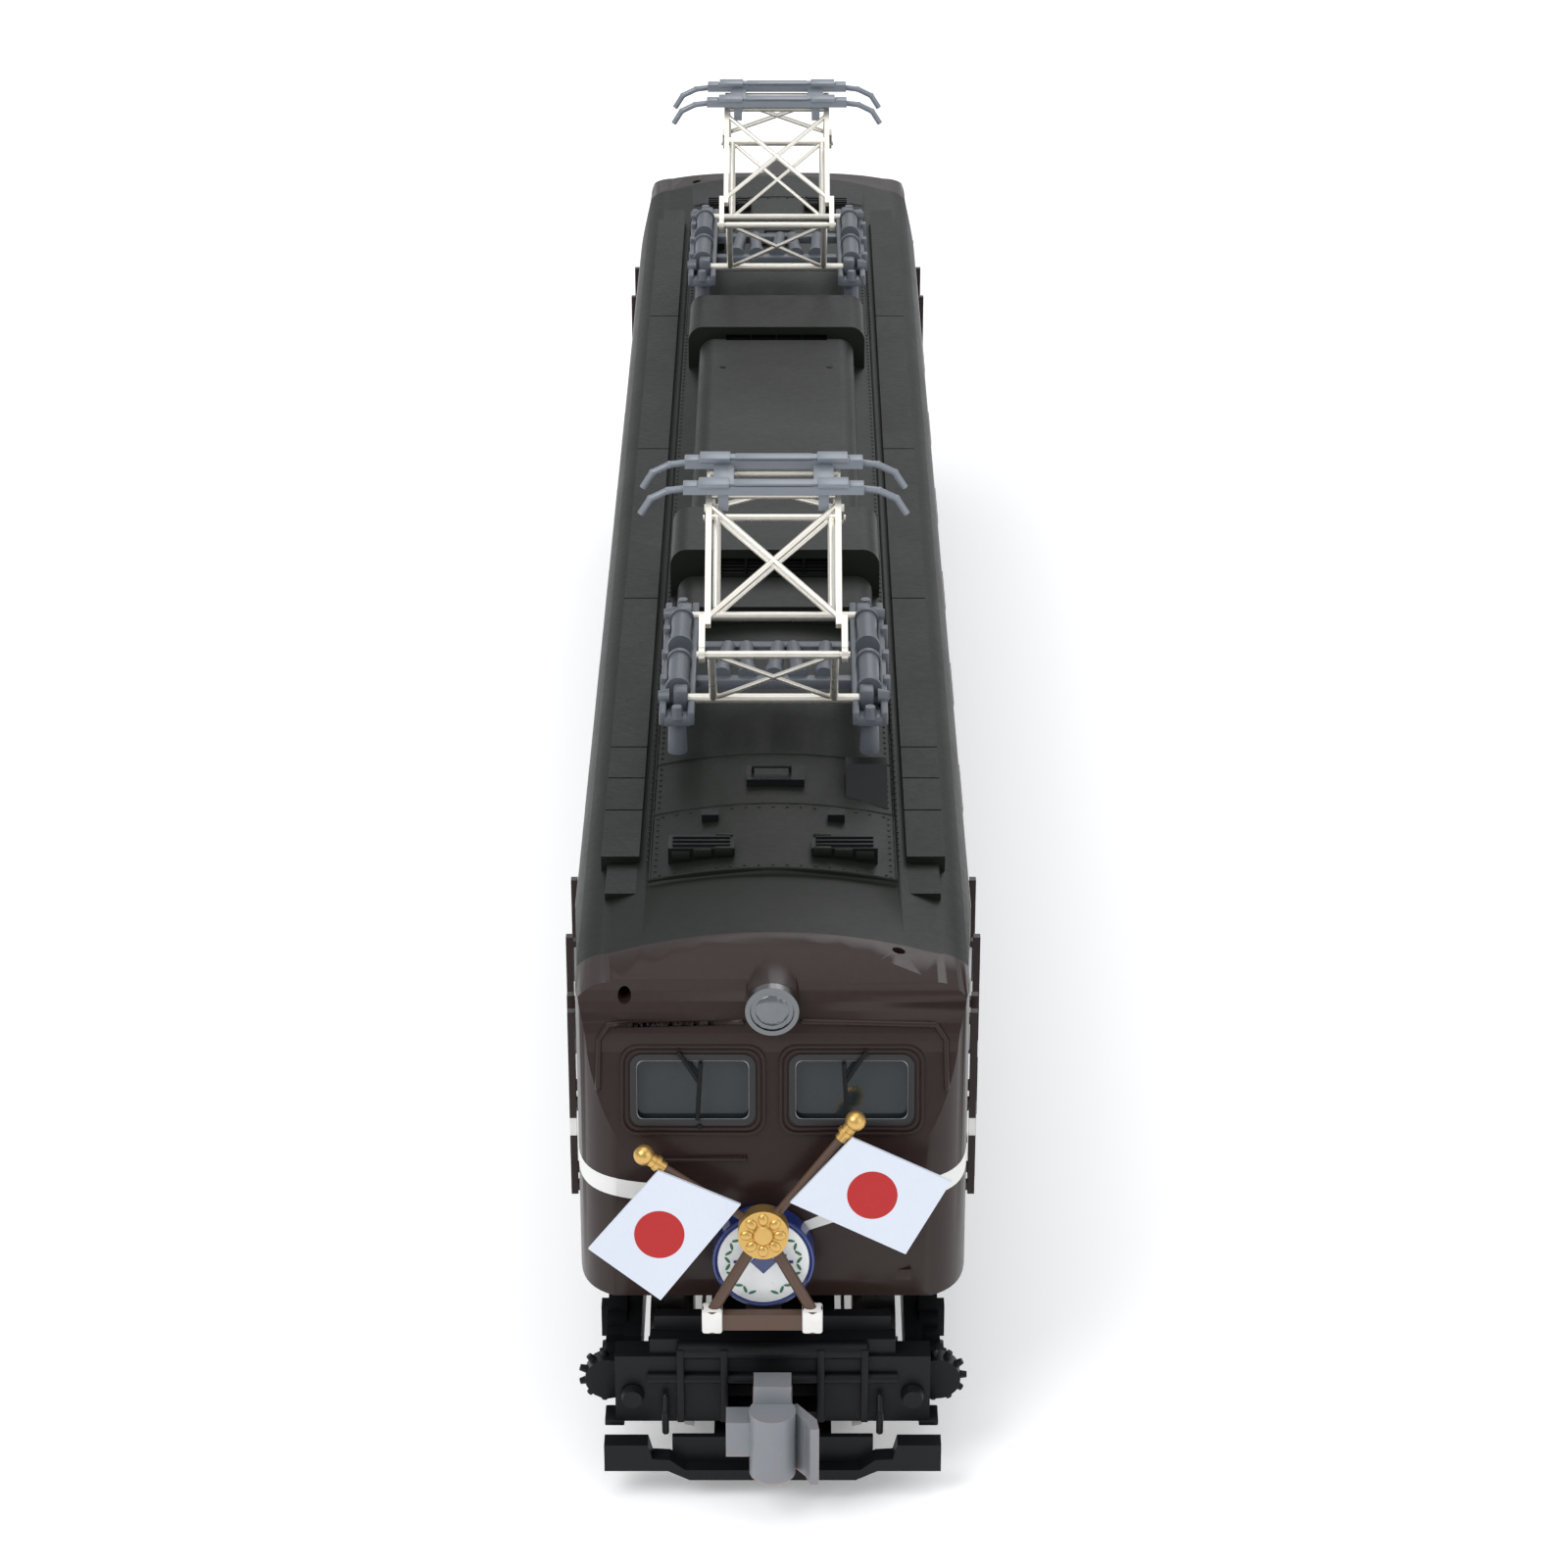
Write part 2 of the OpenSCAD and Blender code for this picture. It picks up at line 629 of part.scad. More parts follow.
module pilot_truck() {
    difference() {
        union() {
            block([-2.9, -62, 2.2], [2.9, -41.9, 5.1]);
            block([-2.9, -44, 5], [2.9, -41.9, 7.2]);
            block([-1.7, -43.5, 7.4], [1.7, -pilot_pivot_y + 1.6, 8.6]);
            block([-1.7, -44, 6.9], [1.7, -42.2, 8.6]);
            block([-6.6, -52.7, 3.4], [6.6, -51.3, 5.6]);
            block([-7.2, -64.2, 3.1], [7.2, -62.9, 6.6]);
            block([-5.6, -64, 6.5], [5.6, -63.1, 7.4]);
            block([-5.4, -63.3, 7.3], [5.4, -62.7, 8.2]);
            block([-2.9, -63, 3.6], [2.9, -61.9, 5.1]);
        }
        for (y = pilot_ys) translate([0, -y, pilot_z]) bar_x(axle_r + run, -5, 5);
        block([-2.2, -64.3, 3.6], [2.2, -61, 5.6]);
    }
    translate([0, -pilot_pivot_y, 0]) translate([0, 0, 5.2]) cylinder(r = 0.7, h = 2.3);
    both_sides() {
        difference() {
            block([6.1, -61.4, 3.3], [6.9, -42.9, 5.9]);
            for (y = pilot_ys) translate([0, -y, pilot_z]) bar_x(0.95, 6, 7);
        }
        for (y = pilot_ys) {
            difference() {
                block([6.1, -y - 1.1, 2.2], [7.8, -y + 1.1, 4.7]);
                translate([0, -y, pilot_z]) bar_x(0.5, 5, 6.9);
            }
            for (i = [0:2]) block([6.8, -y - 2.5 + i * 0.7, 4.8 + i * 0.4], [7.7, -y + 2.5 - i * 0.7, 5.2 + i * 0.4]);
            block([6.8, -y - 0.4, 4.6], [8, -y + 0.4, 6.2]);
        }
    }
    translate([0, -coupler_pivot_y, 0]) translate([0, 0, 3.5]) cylinder(r = 0.5, h = 2.2);
}
module front_pilot_truck() color(black) pilot_truck();
module rear_pilot_truck() color(black) at_rear() pilot_truck();

// Guard bar across the rails: blocks over the rails, thin bars and a dropped middle, with
// an apron plate behind it that carries it on two arms
module plough() {
    rotate([90, 0, 0]) translate([0, 0, 64.7]) linear_extrude(0.9)
        polygon([[-7.7, 1.3], [-7.7, 2.7], [-5.7, 2.7], [-5.5, 1.95], [-4.7, 1.9], [-4, 1.35],
                 [4, 1.35], [4.7, 1.9], [5.5, 1.95], [5.7, 2.7], [7.7, 2.7],
                 [7.7, 1.3], [4.8, 1.3], [3.8, 0.8], [-3.8, 0.8], [-4.8, 1.3]]);
    block([-4.6, -64.9, 1], [4.6, -64.6, 2.7]);
    both_sides() block([1.8, -64.75, 1.6], [2.7, -61.2, 2.2]);
}
module front_plough() color(black) plough();
module rear_plough() color(black) at_rear() plough();

// Knuckle coupler: shank on its pin, upright column, side ear and guard wing
module coupler() {
    difference() {
        union() {
            block([-0.9, -66.6, 4.1], [0.9, -coupler_pivot_y, 5.1]);
            translate([0, -coupler_pivot_y, 4.1]) cylinder(r = 0.9, h = 1);
        }
        translate([0, -coupler_pivot_y, 3]) cylinder(r = 0.5 + run, h = 4);
    }
    translate([0, -66.9, 2.2]) cylinder(r = 1.05, h = 3.3);
    block([-2.1, -67.2, 3.2], [-0.9, -65.9, 5]);
    translate([0, 0, 2.2]) linear_extrude(3)
        polygon([[0.7, -66.2], [1.1, -65.9], [2, -67.2], [2.1, -68], [1.7, -68], [1.5, -67.3]]);
    block([-0.85, -66.4, 5.0], [0.85, -65.2, 6.4]);
}
module front_coupler() color(grey_plastic) coupler();
module rear_coupler() color(grey_plastic) at_rear() coupler();

// --------------------------------------------------------------- pantographs

module panto_frame(s) translate([0, s * panto_y, panto_z]) rotate(s > 0 ? 180 : 0) children();

beam_x = [3.8, 5.6];
module panto_base() {
    difference() {
        union() {
            both_sides() {
                block([beam_x[0], -7.3, -0.7], [beam_x[1], 7.3, 0.42]);
                translate([4.7, 0, 0.3]) bar_y(0.5, -4, 4);
                for (y = [-6.2, 6.2]) translate([4.7, y, -3.8]) cylinder(r = 0.8, h = 3.2);
            }
            block([-3.9, -2.6, -0.7], [3.9, -1.6, 0]);
            block([-3.9, 1.6, -0.7], [3.9, 2.6, 0]);
            for (x = [-2.4:1.2:2.4]) translate([x, 0, -0.1]) bar_y(0.45, -1.6, 1.6);
        }
        for (y = [-main_half, main_half]) translate([0, y, 0]) bar_x(0.25 + run, -4.9, 4.9);
    }
}

module pantograph_bases() color(grey_plastic) difference() {
    for (s = [-1, 1]) panto_frame(s) panto_base();
    roof_bed(panel_rise);
}

// Lower frame on the -Y side: main shaft, two side tubes, knee tube and crossed braces
module lower_frame() {
    shaft = [0, -main_half, 0];
    knee = [0, -knee_y, knee_z];
    translate(shaft) bar_x(0.25, -4.7, 4.7);
    translate(knee) bar_x(pin_r, -foot_half_w - 0.25, foot_half_w + 0.25);
    translate(knee) bar_x(tube_r, -lower_half_w - tube_r, lower_half_w + tube_r);
    for (s = [-1, 1]) {
        side = [s * lower_half_w, 0, 0];
        rod(shaft + side, knee + side, tube_r);
        rod(shaft + side, knee - side, 0.12);
    }
}

// Upper frame on the -Y side: feet on the knee pins, legs, crossed braces and head tube
module upper_frame(pivot_r) {
    along = [0, cos(upper_angle), sin(upper_angle)];
    knee = [0, -knee_y, knee_z];
    head = [0, -head_half, head_z];
    foot_len = 2.1;
    for (s = [-1, 1]) {
        difference() {
            union() {
                translate(knee) bar_x(0.38, s * foot_half_w - 0.15, s * foot_half_w + 0.15);
                translate([s * foot_half_w, 0, 0]) translate(knee) rotate([upper_angle, 0, 0])
                    block([-0.15, 0, -0.2], [0.15, foot_len, 0.2]);
            }
            translate(knee) bar_x(pin_r + run, -5, 5);
        }
        translate([s * (upper_half_w + foot_half_w) / 2, 0, 0]) translate(knee) rotate([upper_angle, 0, 0])
            block([-0.28, foot_len - 0.5, -0.2], [0.28, foot_len, 0.2]);
        translate([s * upper_half_w, 0, 0]) translate(knee) rotate([upper_angle, 0, 0])
            block([-0.15, foot_len - 0.4, -0.2], [0.15, upper_len, 0.2]);
        rod(knee + along * foot_len + [s * upper_half_w, 0, 0], head - along * 0.5 - [s * upper_half_w, 0, 0], 0.14);
    }
    translate(head) bar_x(pivot_r, -upper_half_w, upper_half_w);
}

// Current collector: two contact strips with horns, joined by two posts
horn = [[4, 0, 0], [5.15, 0, -0.14], [6, 0, -0.56], [6.5, 0, -1.35]];
module collector() {
    strip_z = head_z + 0.5;
    for (y = [-1.75, 1.75]) {
        translate([0, y, 0]) {
            block([-4.4, -0.45, strip_z - 0.2], [4.4, 0.45, strip_z + 0.2]);
            block([-3.6, -0.3, strip_z + 0.15], [3.6, 0.3, strip_z + 0.32]);
            both_sides() {
                for (i = [0:2]) rod(horn[i] + [0, 0, strip_z], horn[i + 1] + [0, 0, strip_z], 0.17);
                for (i = [1:2]) translate(horn[i] + [0, 0, strip_z]) sphere(r = 0.19, $fn = 16);
            }
        }
    }
    both_sides() difference() {
        block([2.2, -2.0, head_z - 0.6], [2.7, 2.0, strip_z - 0.1]);
        translate([0, -head_half, head_z]) bar_x(pin_r + run, 0, 5);
        translate([0, head_half, head_z]) bar_x(0.27, 0, 5);
    }
}

module lower_b() rotate(180) lower_frame();
module upper_b() rotate(180) upper_frame(pin_r);

module front_panto_lower_a() color(grey_plastic) panto_frame(-1) lower_frame();
module front_panto_lower_b() color(grey_plastic) panto_frame(-1) lower_b();
module front_panto_upper_a() color(steel) panto_frame(-1) upper_frame(pin_r);
module front_panto_upper_b() color(steel) panto_frame(-1) upper_b();
module front_panto_head() color(steel) panto_frame(-1) collector();
module rear_panto_lower_a() color(grey_plastic) panto_frame(1) lower_frame();
module rear_panto_lower_b() color(grey_plastic) panto_frame(1) lower_b();
module rear_panto_upper_a() color(steel) panto_frame(1) upper_frame(pin_r);
module rear_panto_upper_b() color(steel) panto_frame(1) upper_b();
module rear_panto_head() color(steel) panto_frame(1) collector();

// ------------------------------------------------------- flags and head mark

// Puts a flat drawing in the plane of the stand
module on_stand(depth) translate([0, stand_y, stand_z]) rotate([90 - stand_lean, 0, 0]) translate([0, 0, depth]) children();

module stick(p, q, r) {
    d = q - p;
    translate([p[0], p[1], 0]) rotate([0, 0, atan2(d[1], d[0])]) rotate([0, 90, 0]) cylinder(r = r, h = norm(d));
}

module flag_stand() color([0.3, 0.2, 0.14]) {
    on_stand(0) {
        for (foot = leg_feet) stick(stand_boss, foot, 0.26);
        for (tip = pole_tips) {
            stick(stand_boss, tip, 0.2);
            translate([tip[0], tip[1], 0]) sphere(r = 0.45, $fn = 24);
        }
        translate([stand_boss[0], stand_boss[1], -0.2]) cylinder(r = 1.1, h = 0.9);
    }
    for (foot = leg_feet) translate([foot[0], -65.65, 9.05]) cylinder(r = 0.45, h = 1.1);
    block([leg_feet[0][0], -65.9, 9.1], [leg_feet[1][0], -65.4, 9.9]);
    block([-1.2, -65.5, 9.1], [0.4, -62.87, 9.4]);
}

module flag(corners) on_stand(0.22) linear_extrude(0.22) polygon(corners);
module flag_left() color("white") flag(flag_left_corners);
module flag_right() color("white") flag(flag_right_corners);

module head_mark() color([0.1, 0.16, 0.4])
    translate([-0.4, -63.95, 11.85]) rotate([90 - 4, 0, 0]) {
        translate([0, 0, -0.5]) cylinder(r = 2.3, h = 1, $fn = 64);
        translate([0, 0, 0.5]) cylinder(r = 2.1, h = 0.1, $fn = 64);
    }

// ---------------------------------------------------------------------- nodes

body_shell();
roof_panel();
roof_walkways();
roof_fittings();
roof_hoods();
window_glazing();
wipers();
headlight_rims();
headlight_prisms();
handrails();
chassis_left();
chassis_right();
light_board();
motor_case();
truck_screws();
underfloor_boxes();
pantograph_bases();
flag_stand();
flag_left();
flag_right();
head_mark();
motor_armature();
flywheels();
cardan_shafts();
front_worm();
rear_worm();
front_gearbox();
front_side_frames();
rear_gearbox();
rear_side_frames();
front_idler_inner();
front_idler_outer();
rear_idler_inner();
rear_idler_outer();
driver_wheelset_1();
driver_wheelset_2();
driver_wheelset_3();
driver_wheelset_4();
driver_wheelset_5();
driver_wheelset_6();
pilot_wheelset_1();
pilot_wheelset_2();
pilot_wheelset_3();
pilot_wheelset_4();
front_pilot_truck();
rear_pilot_truck();
front_plough();
rear_plough();
front_coupler();
rear_coupler();
front_panto_lower_a();
front_panto_lower_b();
front_panto_upper_a();
front_panto_upper_b();
front_panto_head();
rear_panto_lower_a();
rear_panto_lower_b();
rear_panto_upper_a();
rear_panto_upper_b();
rear_panto_head();
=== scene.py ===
import math

import bmesh
import bpy
from mathutils import Matrix, Vector


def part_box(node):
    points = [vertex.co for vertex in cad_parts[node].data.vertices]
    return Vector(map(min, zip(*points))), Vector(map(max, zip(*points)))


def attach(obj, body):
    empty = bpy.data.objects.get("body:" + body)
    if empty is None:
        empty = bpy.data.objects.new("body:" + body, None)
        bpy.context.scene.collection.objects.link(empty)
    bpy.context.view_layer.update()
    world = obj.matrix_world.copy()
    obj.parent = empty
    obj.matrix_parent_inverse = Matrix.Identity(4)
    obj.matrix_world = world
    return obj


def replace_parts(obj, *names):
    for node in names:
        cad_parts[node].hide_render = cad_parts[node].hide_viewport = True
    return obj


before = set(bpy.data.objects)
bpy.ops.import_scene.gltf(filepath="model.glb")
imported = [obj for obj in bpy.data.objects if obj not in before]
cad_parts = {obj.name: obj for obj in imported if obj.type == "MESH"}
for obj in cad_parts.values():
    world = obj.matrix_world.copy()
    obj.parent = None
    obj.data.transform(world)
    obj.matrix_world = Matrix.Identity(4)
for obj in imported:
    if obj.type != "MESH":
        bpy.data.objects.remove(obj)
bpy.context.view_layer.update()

# ---------------------------------------------------------------- body shell
# The body is one thin plastic moulding in brown semi-gloss paint. A silver line is
# printed round its waist; on the nose the line thins and droops towards the middle.
MM = 0.001


class Wire:
    """A socket of a material. Arithmetic on it adds Math nodes."""

    def __init__(self, tree, socket=None):
        self.tree, self.socket = tree, socket

    def node(self, kind, settings, values, out=0):
        made = self.tree.nodes.new(kind)
        for name, value in settings.items():
            setattr(made, name, value)
        for name, value in values.items():
            self.put(made.inputs[name], value)
        return Wire(self.tree, made.outputs[out])

    def put(self, socket, value):
        if isinstance(value, Wire):
            self.tree.links.new(value.socket, socket)
        else:
            socket.default_value = value

    def maths(self, operation, *values):
        return self.node("ShaderNodeMath", {"operation": operation}, dict(enumerate(values)))

    def __add__(self, other): return self.maths("ADD", self, other)
    def __radd__(self, other): return self.maths("ADD", other, self)
    def __sub__(self, other): return self.maths("SUBTRACT", self, other)
    def __rsub__(self, other): return self.maths("SUBTRACT", other, self)
    def __mul__(self, other): return self.maths("MULTIPLY", self, other)
    def __rmul__(self, other): return self.maths("MULTIPLY", other, self)
    def __truediv__(self, other): return self.maths("DIVIDE", self, other)
    def __gt__(self, other): return self.maths("GREATER_THAN", self, other)
    def __lt__(self, other): return self.maths("LESS_THAN", self, other)
    def __abs__(self): return self.maths("ABSOLUTE", self)

    def mix(self, low, high):
        """Low where this is 0 and high where it is 1; both are colours."""
        return self.node("ShaderNodeMix", {"data_type": "RGBA"}, {0: self, 6: low, 7: high}, 2)


def rgba(colour, share=1.0):
    return tuple(min(1, c * share) for c in colour[:3]) + (1,)


class Finish:
    """A material with the fine unevenness of its surface; sections add to it."""

    def __init__(self, name, colour, rough, grain=1800, spread=0.14, dent=0.004, **fixed):
        self.material = bpy.data.materials.new(name)
        self.material.use_nodes = True
        self.material.diffuse_color = rgba(colour)
        self.tree = self.material.node_tree
        self.shader = self.tree.nodes["Principled BSDF"]
        self.wire = Wire(self.tree)
        self.place = self.wire.node("ShaderNodeTexCoord", {}, {}, 3)
        split = self.place.node("ShaderNodeSeparateXYZ", {}, {0: self.place})
        outs = split.socket.node.outputs
        self.x, self.y, self.z = (Wire(self.tree, o) for o in outs)
        self.mottle = self.noise(grain, 4)
        self.cloud = self.noise(grain / 14, 2)
        self.colour = self.mottle.mix(rgba(colour, 1 - spread), rgba(colour, 1 + spread))
        self.set("Base Color", self.cloud.mix(self.colour, rgba(colour)))
        self.set("Roughness", self.mottle * 0.12 + self.cloud * 0.1 + (rough - 0.11))
        self.bump(self.mottle, dent)
        for socket, value in fixed.items():
            self.shader.inputs[socket.replace("_", " ")].default_value = value

    def noise(self, scale, detail=3, place=None):
        return self.wire.node("ShaderNodeTexNoise", {}, {"Vector": place or self.place, "Scale": scale, "Detail": detail})

    def set(self, socket, value):
        self.wire.put(self.shader.inputs[socket], value)

    def link(self, socket):
        return Wire(self.tree, self.shader.inputs[socket].links[0].from_socket)

    def bump(self, height, depth_mm):
        self.set("Normal", self.wire.node("ShaderNodeBump", {}, {"Height": height, "Distance": depth_mm * MM, "Strength": 1.0}))

    def paint(self, where, colour, rough=None, metal=None):
        """Covers the masked area with another colour."""
        self.set("Base Color", where.mix(self.link("Base Color"), rgba(colour)))
        if rough is not None:
            base = self.link("Roughness")
            self.set("Roughness", base + where * (rough - base))
        if metal is not None:
            self.set("Metallic", where * metal)

    def on(self, *nodes):
        for node in nodes:
            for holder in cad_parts[node].material_slots:
                holder.material = self.material
        return self


brown_paint = Finish("brown_body_paint", (0.0195, 0.0098, 0.0082), 0.34, dent=0.003, Coat_Weight=0.08, Coat_Roughness=0.16,
                     Specular_IOR_Level=0.22)
SILVER = (0.74, 0.74, 0.72)
off_centre = abs(brown_paint.x)
toward_side = (off_centre - 1.0 * MM) / (4.5 * MM)
toward_side.socket.node.use_clamp = True
line_mid = 12.7 * MM + toward_side * (1.9 * MM)
line_half = 0.24 * MM + toward_side * (0.22 * MM)
in_line = abs(brown_paint.z - line_mid) < line_half
waist_line = in_line * (off_centre > 1.0 * MM)
brown_paint.paint(waist_line, SILVER, rough=0.34)
dust = brown_paint.noise(260, 5) * brown_paint.noise(2600, 2)
brown_paint.set("Base Color", (dust * 0.08).mix(brown_paint.link("Base Color"), (0.12, 0.1, 0.085, 1)))
brown_paint.on("handrails")


def rounded_copy(node, name, body, finish):
    """Stands for a CAD node: its mesh with the corners merged, so that curves shade smoothly."""
    bm = bmesh.new()
    bm.from_mesh(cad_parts[node].data)
    bmesh.ops.remove_doubles(bm, verts=bm.verts, dist=0.001 * MM)
    bmesh.ops.dissolve_limit(bm, angle_limit=math.radians(0.4), verts=bm.verts, edges=bm.edges)
    mesh = bpy.data.meshes.new(name)
    bm.to_mesh(mesh)
    bm.free()
    mesh.materials.clear()
    mesh.materials.append(finish.material)
    piece = bpy.data.objects.new(name, mesh)
    bpy.context.scene.collection.objects.link(piece)
    for face in mesh.polygons:
        face.use_smooth = True
        face.material_index = 0
    mesh.set_sharp_from_angle(angle=math.radians(24))
    piece.modifiers.new("even_shading", "WEIGHTED_NORMAL").keep_sharp = True
    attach(piece, body)
    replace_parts(piece, node)


rounded_copy("body_shell", "body_moulding", "loco_body", brown_paint)


# --------------------------------------------------------------- window frames
# Each front window has a black rubber gasket with a thin silver inner rim, inside a
# double bead that is moulded with the nose. The side windows have bare metal frames.
def settled(bm, name, body, finish, flip=False):
    """Turns a mesh modelled in millimetres into a finished piece on its body."""
    if flip:
        bmesh.ops.remove_doubles(bm, verts=bm.verts, dist=0.0005)
        bmesh.ops.recalc_face_normals(bm, faces=bm.faces)
    bmesh.ops.scale(bm, vec=Vector((MM, MM, MM)), verts=bm.verts)
    mesh = bpy.data.meshes.new(name)
    bm.to_mesh(mesh)
    bm.free()
    mesh.materials.append(finish.material)
    piece = bpy.data.objects.new(name, mesh)
    bpy.context.scene.collection.objects.link(piece)
    for face in mesh.polygons:
        face.use_smooth = True
    mesh.set_sharp_from_angle(angle=math.radians(38))
    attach(piece, body)
    return piece


def rounded_sheet(bm, width, height, radius, steps=5):
    """Flat face in X and Y with rounded corners; returns the face."""
    made = bmesh.ops.create_grid(bm, x_segments=1, y_segments=1, size=0.5)["verts"]
    bmesh.ops.scale(bm, vec=Vector((width, height, 1)), verts=made)
    rounded = bmesh.ops.bevel(bm, geom=made, offset=radius, offset_type="OFFSET", segments=steps, profile=0.5,
                              affect="VERTICES", material=-1)
    return max({f for v in rounded["verts"] for f in v.link_faces}, key=lambda f: f.calc_area())


def ring(width, height, radius, wall, rise):
    """Rounded rectangular ring, flat on X and Y: outer size, wall width and rise."""
    bm = bmesh.new()
    face = rounded_sheet(bm, width, height, radius)
    bmesh.ops.inset_region(bm, faces=[face], thickness=wall, use_even_offset=True, use_boundary=True)
    bmesh.ops.delete(bm, geom=[face], context="FACES_ONLY")
    grown = bmesh.ops.extrude_face_region(bm, geom=bm.faces[:], use_keep_orig=True)["geom"]
    bmesh.ops.translate(bm, vec=Vector((0, 0, rise)), verts=[g for g in grown if isinstance(g, bmesh.types.BMVert)])
    lid = {g for g in grown if isinstance(g, bmesh.types.BMFace)}
    rim = {e for f in lid for e in f.edges if sum(g in lid for g in e.link_faces) == 1}
    bmesh.ops.bevel(bm, geom=list(rim), offset=min(wall, rise) * 0.3, offset_type="OFFSET", segments=2, profile=0.5,
                    affect="EDGES", material=-1)
    return bm


def rings(name, sizes, places, body, finish):
    bm = bmesh.new()
    for place in places:
        for size in sizes:
            part = ring(*size)
            bmesh.ops.transform(part, matrix=place, verts=part.verts)
            scrap = bpy.data.meshes.new("scrap")
            part.to_mesh(scrap)
            part.free()
            bm.from_mesh(scrap)
            bpy.data.meshes.remove(scrap)
    return settled(bm, name, body, finish, flip=True)


NOSE_SLOPE = math.atan(1.6 / 5.8)
WINDOW_Z, WINDOW_X = 19.33, 3.55
WINDOW_Y = -(63.2 - 1.6 * (WINDOW_Z - 15.2) / 5.8)
front_windows = [Matrix.Rotation(turn, 4, "Z") @ Matrix.Translation((side * WINDOW_X, WINDOW_Y, WINDOW_Z))
                 @ Matrix.Rotation(math.pi / 2 - NOSE_SLOPE, 4, "X") for turn in (0, math.pi) for side in (-1, 1)]
rubber = Finish("window_rubber", (0.012, 0.012, 0.013), 0.55)
rings("window_gaskets", [(5.62, 3.28, 0.55, 0.3, 0.1)], front_windows, "loco_body", rubber)
bright_trim = Finish("bright_trim", (0.3, 0.31, 0.32), 0.38, Metallic=0.85)
rings("window_inner_rims", [(5.18, 2.84, 0.4, 0.1, 0.06)], front_windows, "loco_body", bright_trim)
rings("window_beads", [(6.5, 4.16, 0.8, 0.15, 0.14), (6.05, 3.72, 0.65, 0.14, 0.09)], front_windows,
      "loco_body", brown_paint)

side_places = []
for way in (-1, 1):
    for index in range(-3, 4):
        side_places.append(Matrix.Translation((way * 9.33, index * 13, 18.6)) @ Matrix.Rotation(way * math.pi / 2, 4, "Z")
                           @ Matrix.Rotation(math.pi / 2, 4, "X"))
cab_places = [Matrix.Translation((way * 9.13, end * 52.5, 18.8))
              @ Matrix.Rotation(way * math.pi / 2 + way * end * 0.056, 4, "Z") @ Matrix.Rotation(math.pi / 2, 4, "X")
              for way in (-1, 1) for end in (-1, 1)]
rings("side_window_frames", [(4.8, 3.6, 0.45, 0.2, 0.12)], side_places, "loco_body", bright_trim)
rings("cab_window_frames", [(3.8, 3.8, 0.45, 0.2, 0.12)], cab_places, "loco_body", bright_trim)


# ------------------------------------------------------------ nose mouldings
# Raised lines moulded with the nose: the rain gutter over both windows, the centre seam
# and the rail under the left window. Doors on the sides have handles and hinges.
def rod(bm, start, end, radius, sides=10, tip=None):
    """Round bar between two points."""
    start, end = Vector(start), Vector(end)
    along = end - start
    made = bmesh.ops.create_cone(bm, cap_ends=True, cap_tris=False, segments=sides, radius1=radius,
                                 radius2=radius if tip is None else tip, depth=along.length)["verts"]
    turn = along.to_track_quat("Z", "Y").to_matrix().to_4x4()
    bmesh.ops.transform(bm, matrix=Matrix.Translation((start + end) / 2) @ turn, verts=made)
    return made


def bent_rod(bm, points, radius, sides=10):
    """Round bar through several points, with round elbows."""
    for start, end in zip(points, points[1:]):
        rod(bm, start, end, radius, sides)
    for point in points:
        bmesh.ops.create_icosphere(bm, subdivisions=1, radius=radius * 1.04, matrix=Matrix.Translation(point))


def plate(bm, low, high, soft=0.05, turn=None):
    """Bevelled block between two corners, turned about its middle."""
    low, high = Vector(low), Vector(high)
    made = bmesh.ops.create_cube(bm, size=1)["verts"]
    edges = {e for v in made for e in v.link_edges}
    bmesh.ops.scale(bm, vec=high - low, verts=made)
    if soft:
        cut = bmesh.ops.bevel(bm, geom=list(edges), offset=soft, offset_type="OFFSET", segments=2, profile=0.5,
                              affect="EDGES", material=-1)
        made = list({v for f in cut["faces"] for v in f.verts} | {v for v in made if v.is_valid})
    bmesh.ops.transform(bm, matrix=Matrix.Translation((low + high) / 2) @ (turn or Matrix()), verts=made)


def nose_y(z, x=0.0):
    """Front face of the nose at a height, in millimetres."""
    upright = 63.2 if z < 15.2 else 63.2 - 1.6 * (z - 15.2) / 5.8
    if z > 21:
        upright = 61.6 - 6.4 * (1 - math.sqrt(max(0, 1 - ((z - 21) / 4.2) ** 2)))
    plan = 57 + 6.2 * max(0, 1 - (abs(x) / 8.9) ** 4.4) ** (1 / 4.4)
    return -min(upright, plan)


def mirrored_ends(bm):
    """Adds the same mouldings to the other end."""
    twin = bmesh.ops.duplicate(bm, geom=bm.verts[:] + bm.edges[:] + bm.faces[:])["geom"]
    bmesh.ops.rotate(bm, cent=(0, 0, 0), matrix=Matrix.Rotation(math.pi, 3, "Z"),
                     verts=[v for v in twin if isinstance(v, bmesh.types.BMVert)])


bm = bmesh.new()
for side in (-1, 1):
    gutter = [(side * x, nose_y(22.25 + 0.16 * (1 - x / 8), x) - 0.08, 22.25 + 0.16 * (1 - x / 8))
              for x in (1.35, 2.6, 3.9, 5.2, 6.4, 7.3)]
    bent_rod(bm, gutter + [(side * 7.75, nose_y(21.6, 7.75), 21.6), (side * 7.8, nose_y(19.4, 7.8), 19.4)], 0.14)
rail_z = 16.35
rail = [(-5.0, nose_y(rail_z, 5) - 0.3, rail_z), (-1.2, nose_y(rail_z) - 0.3, rail_z)]
bent_rod(bm, rail, 0.08)
for x in (-5.0, -1.2):
    rod(bm, (x, nose_y(rail_z, x) + 0.1, rail_z), (x, nose_y(rail_z, x) - 0.3, rail_z), 0.09)
plate(bm, (5.5, nose_y(10.2, 5.9) - 0.05, 9.9), (6.3, nose_y(10.2, 5.9) + 0.3, 10.5))
mirrored_ends(bm)
settled(bm, "nose_mouldings", "loco_body", brown_paint, flip=True)

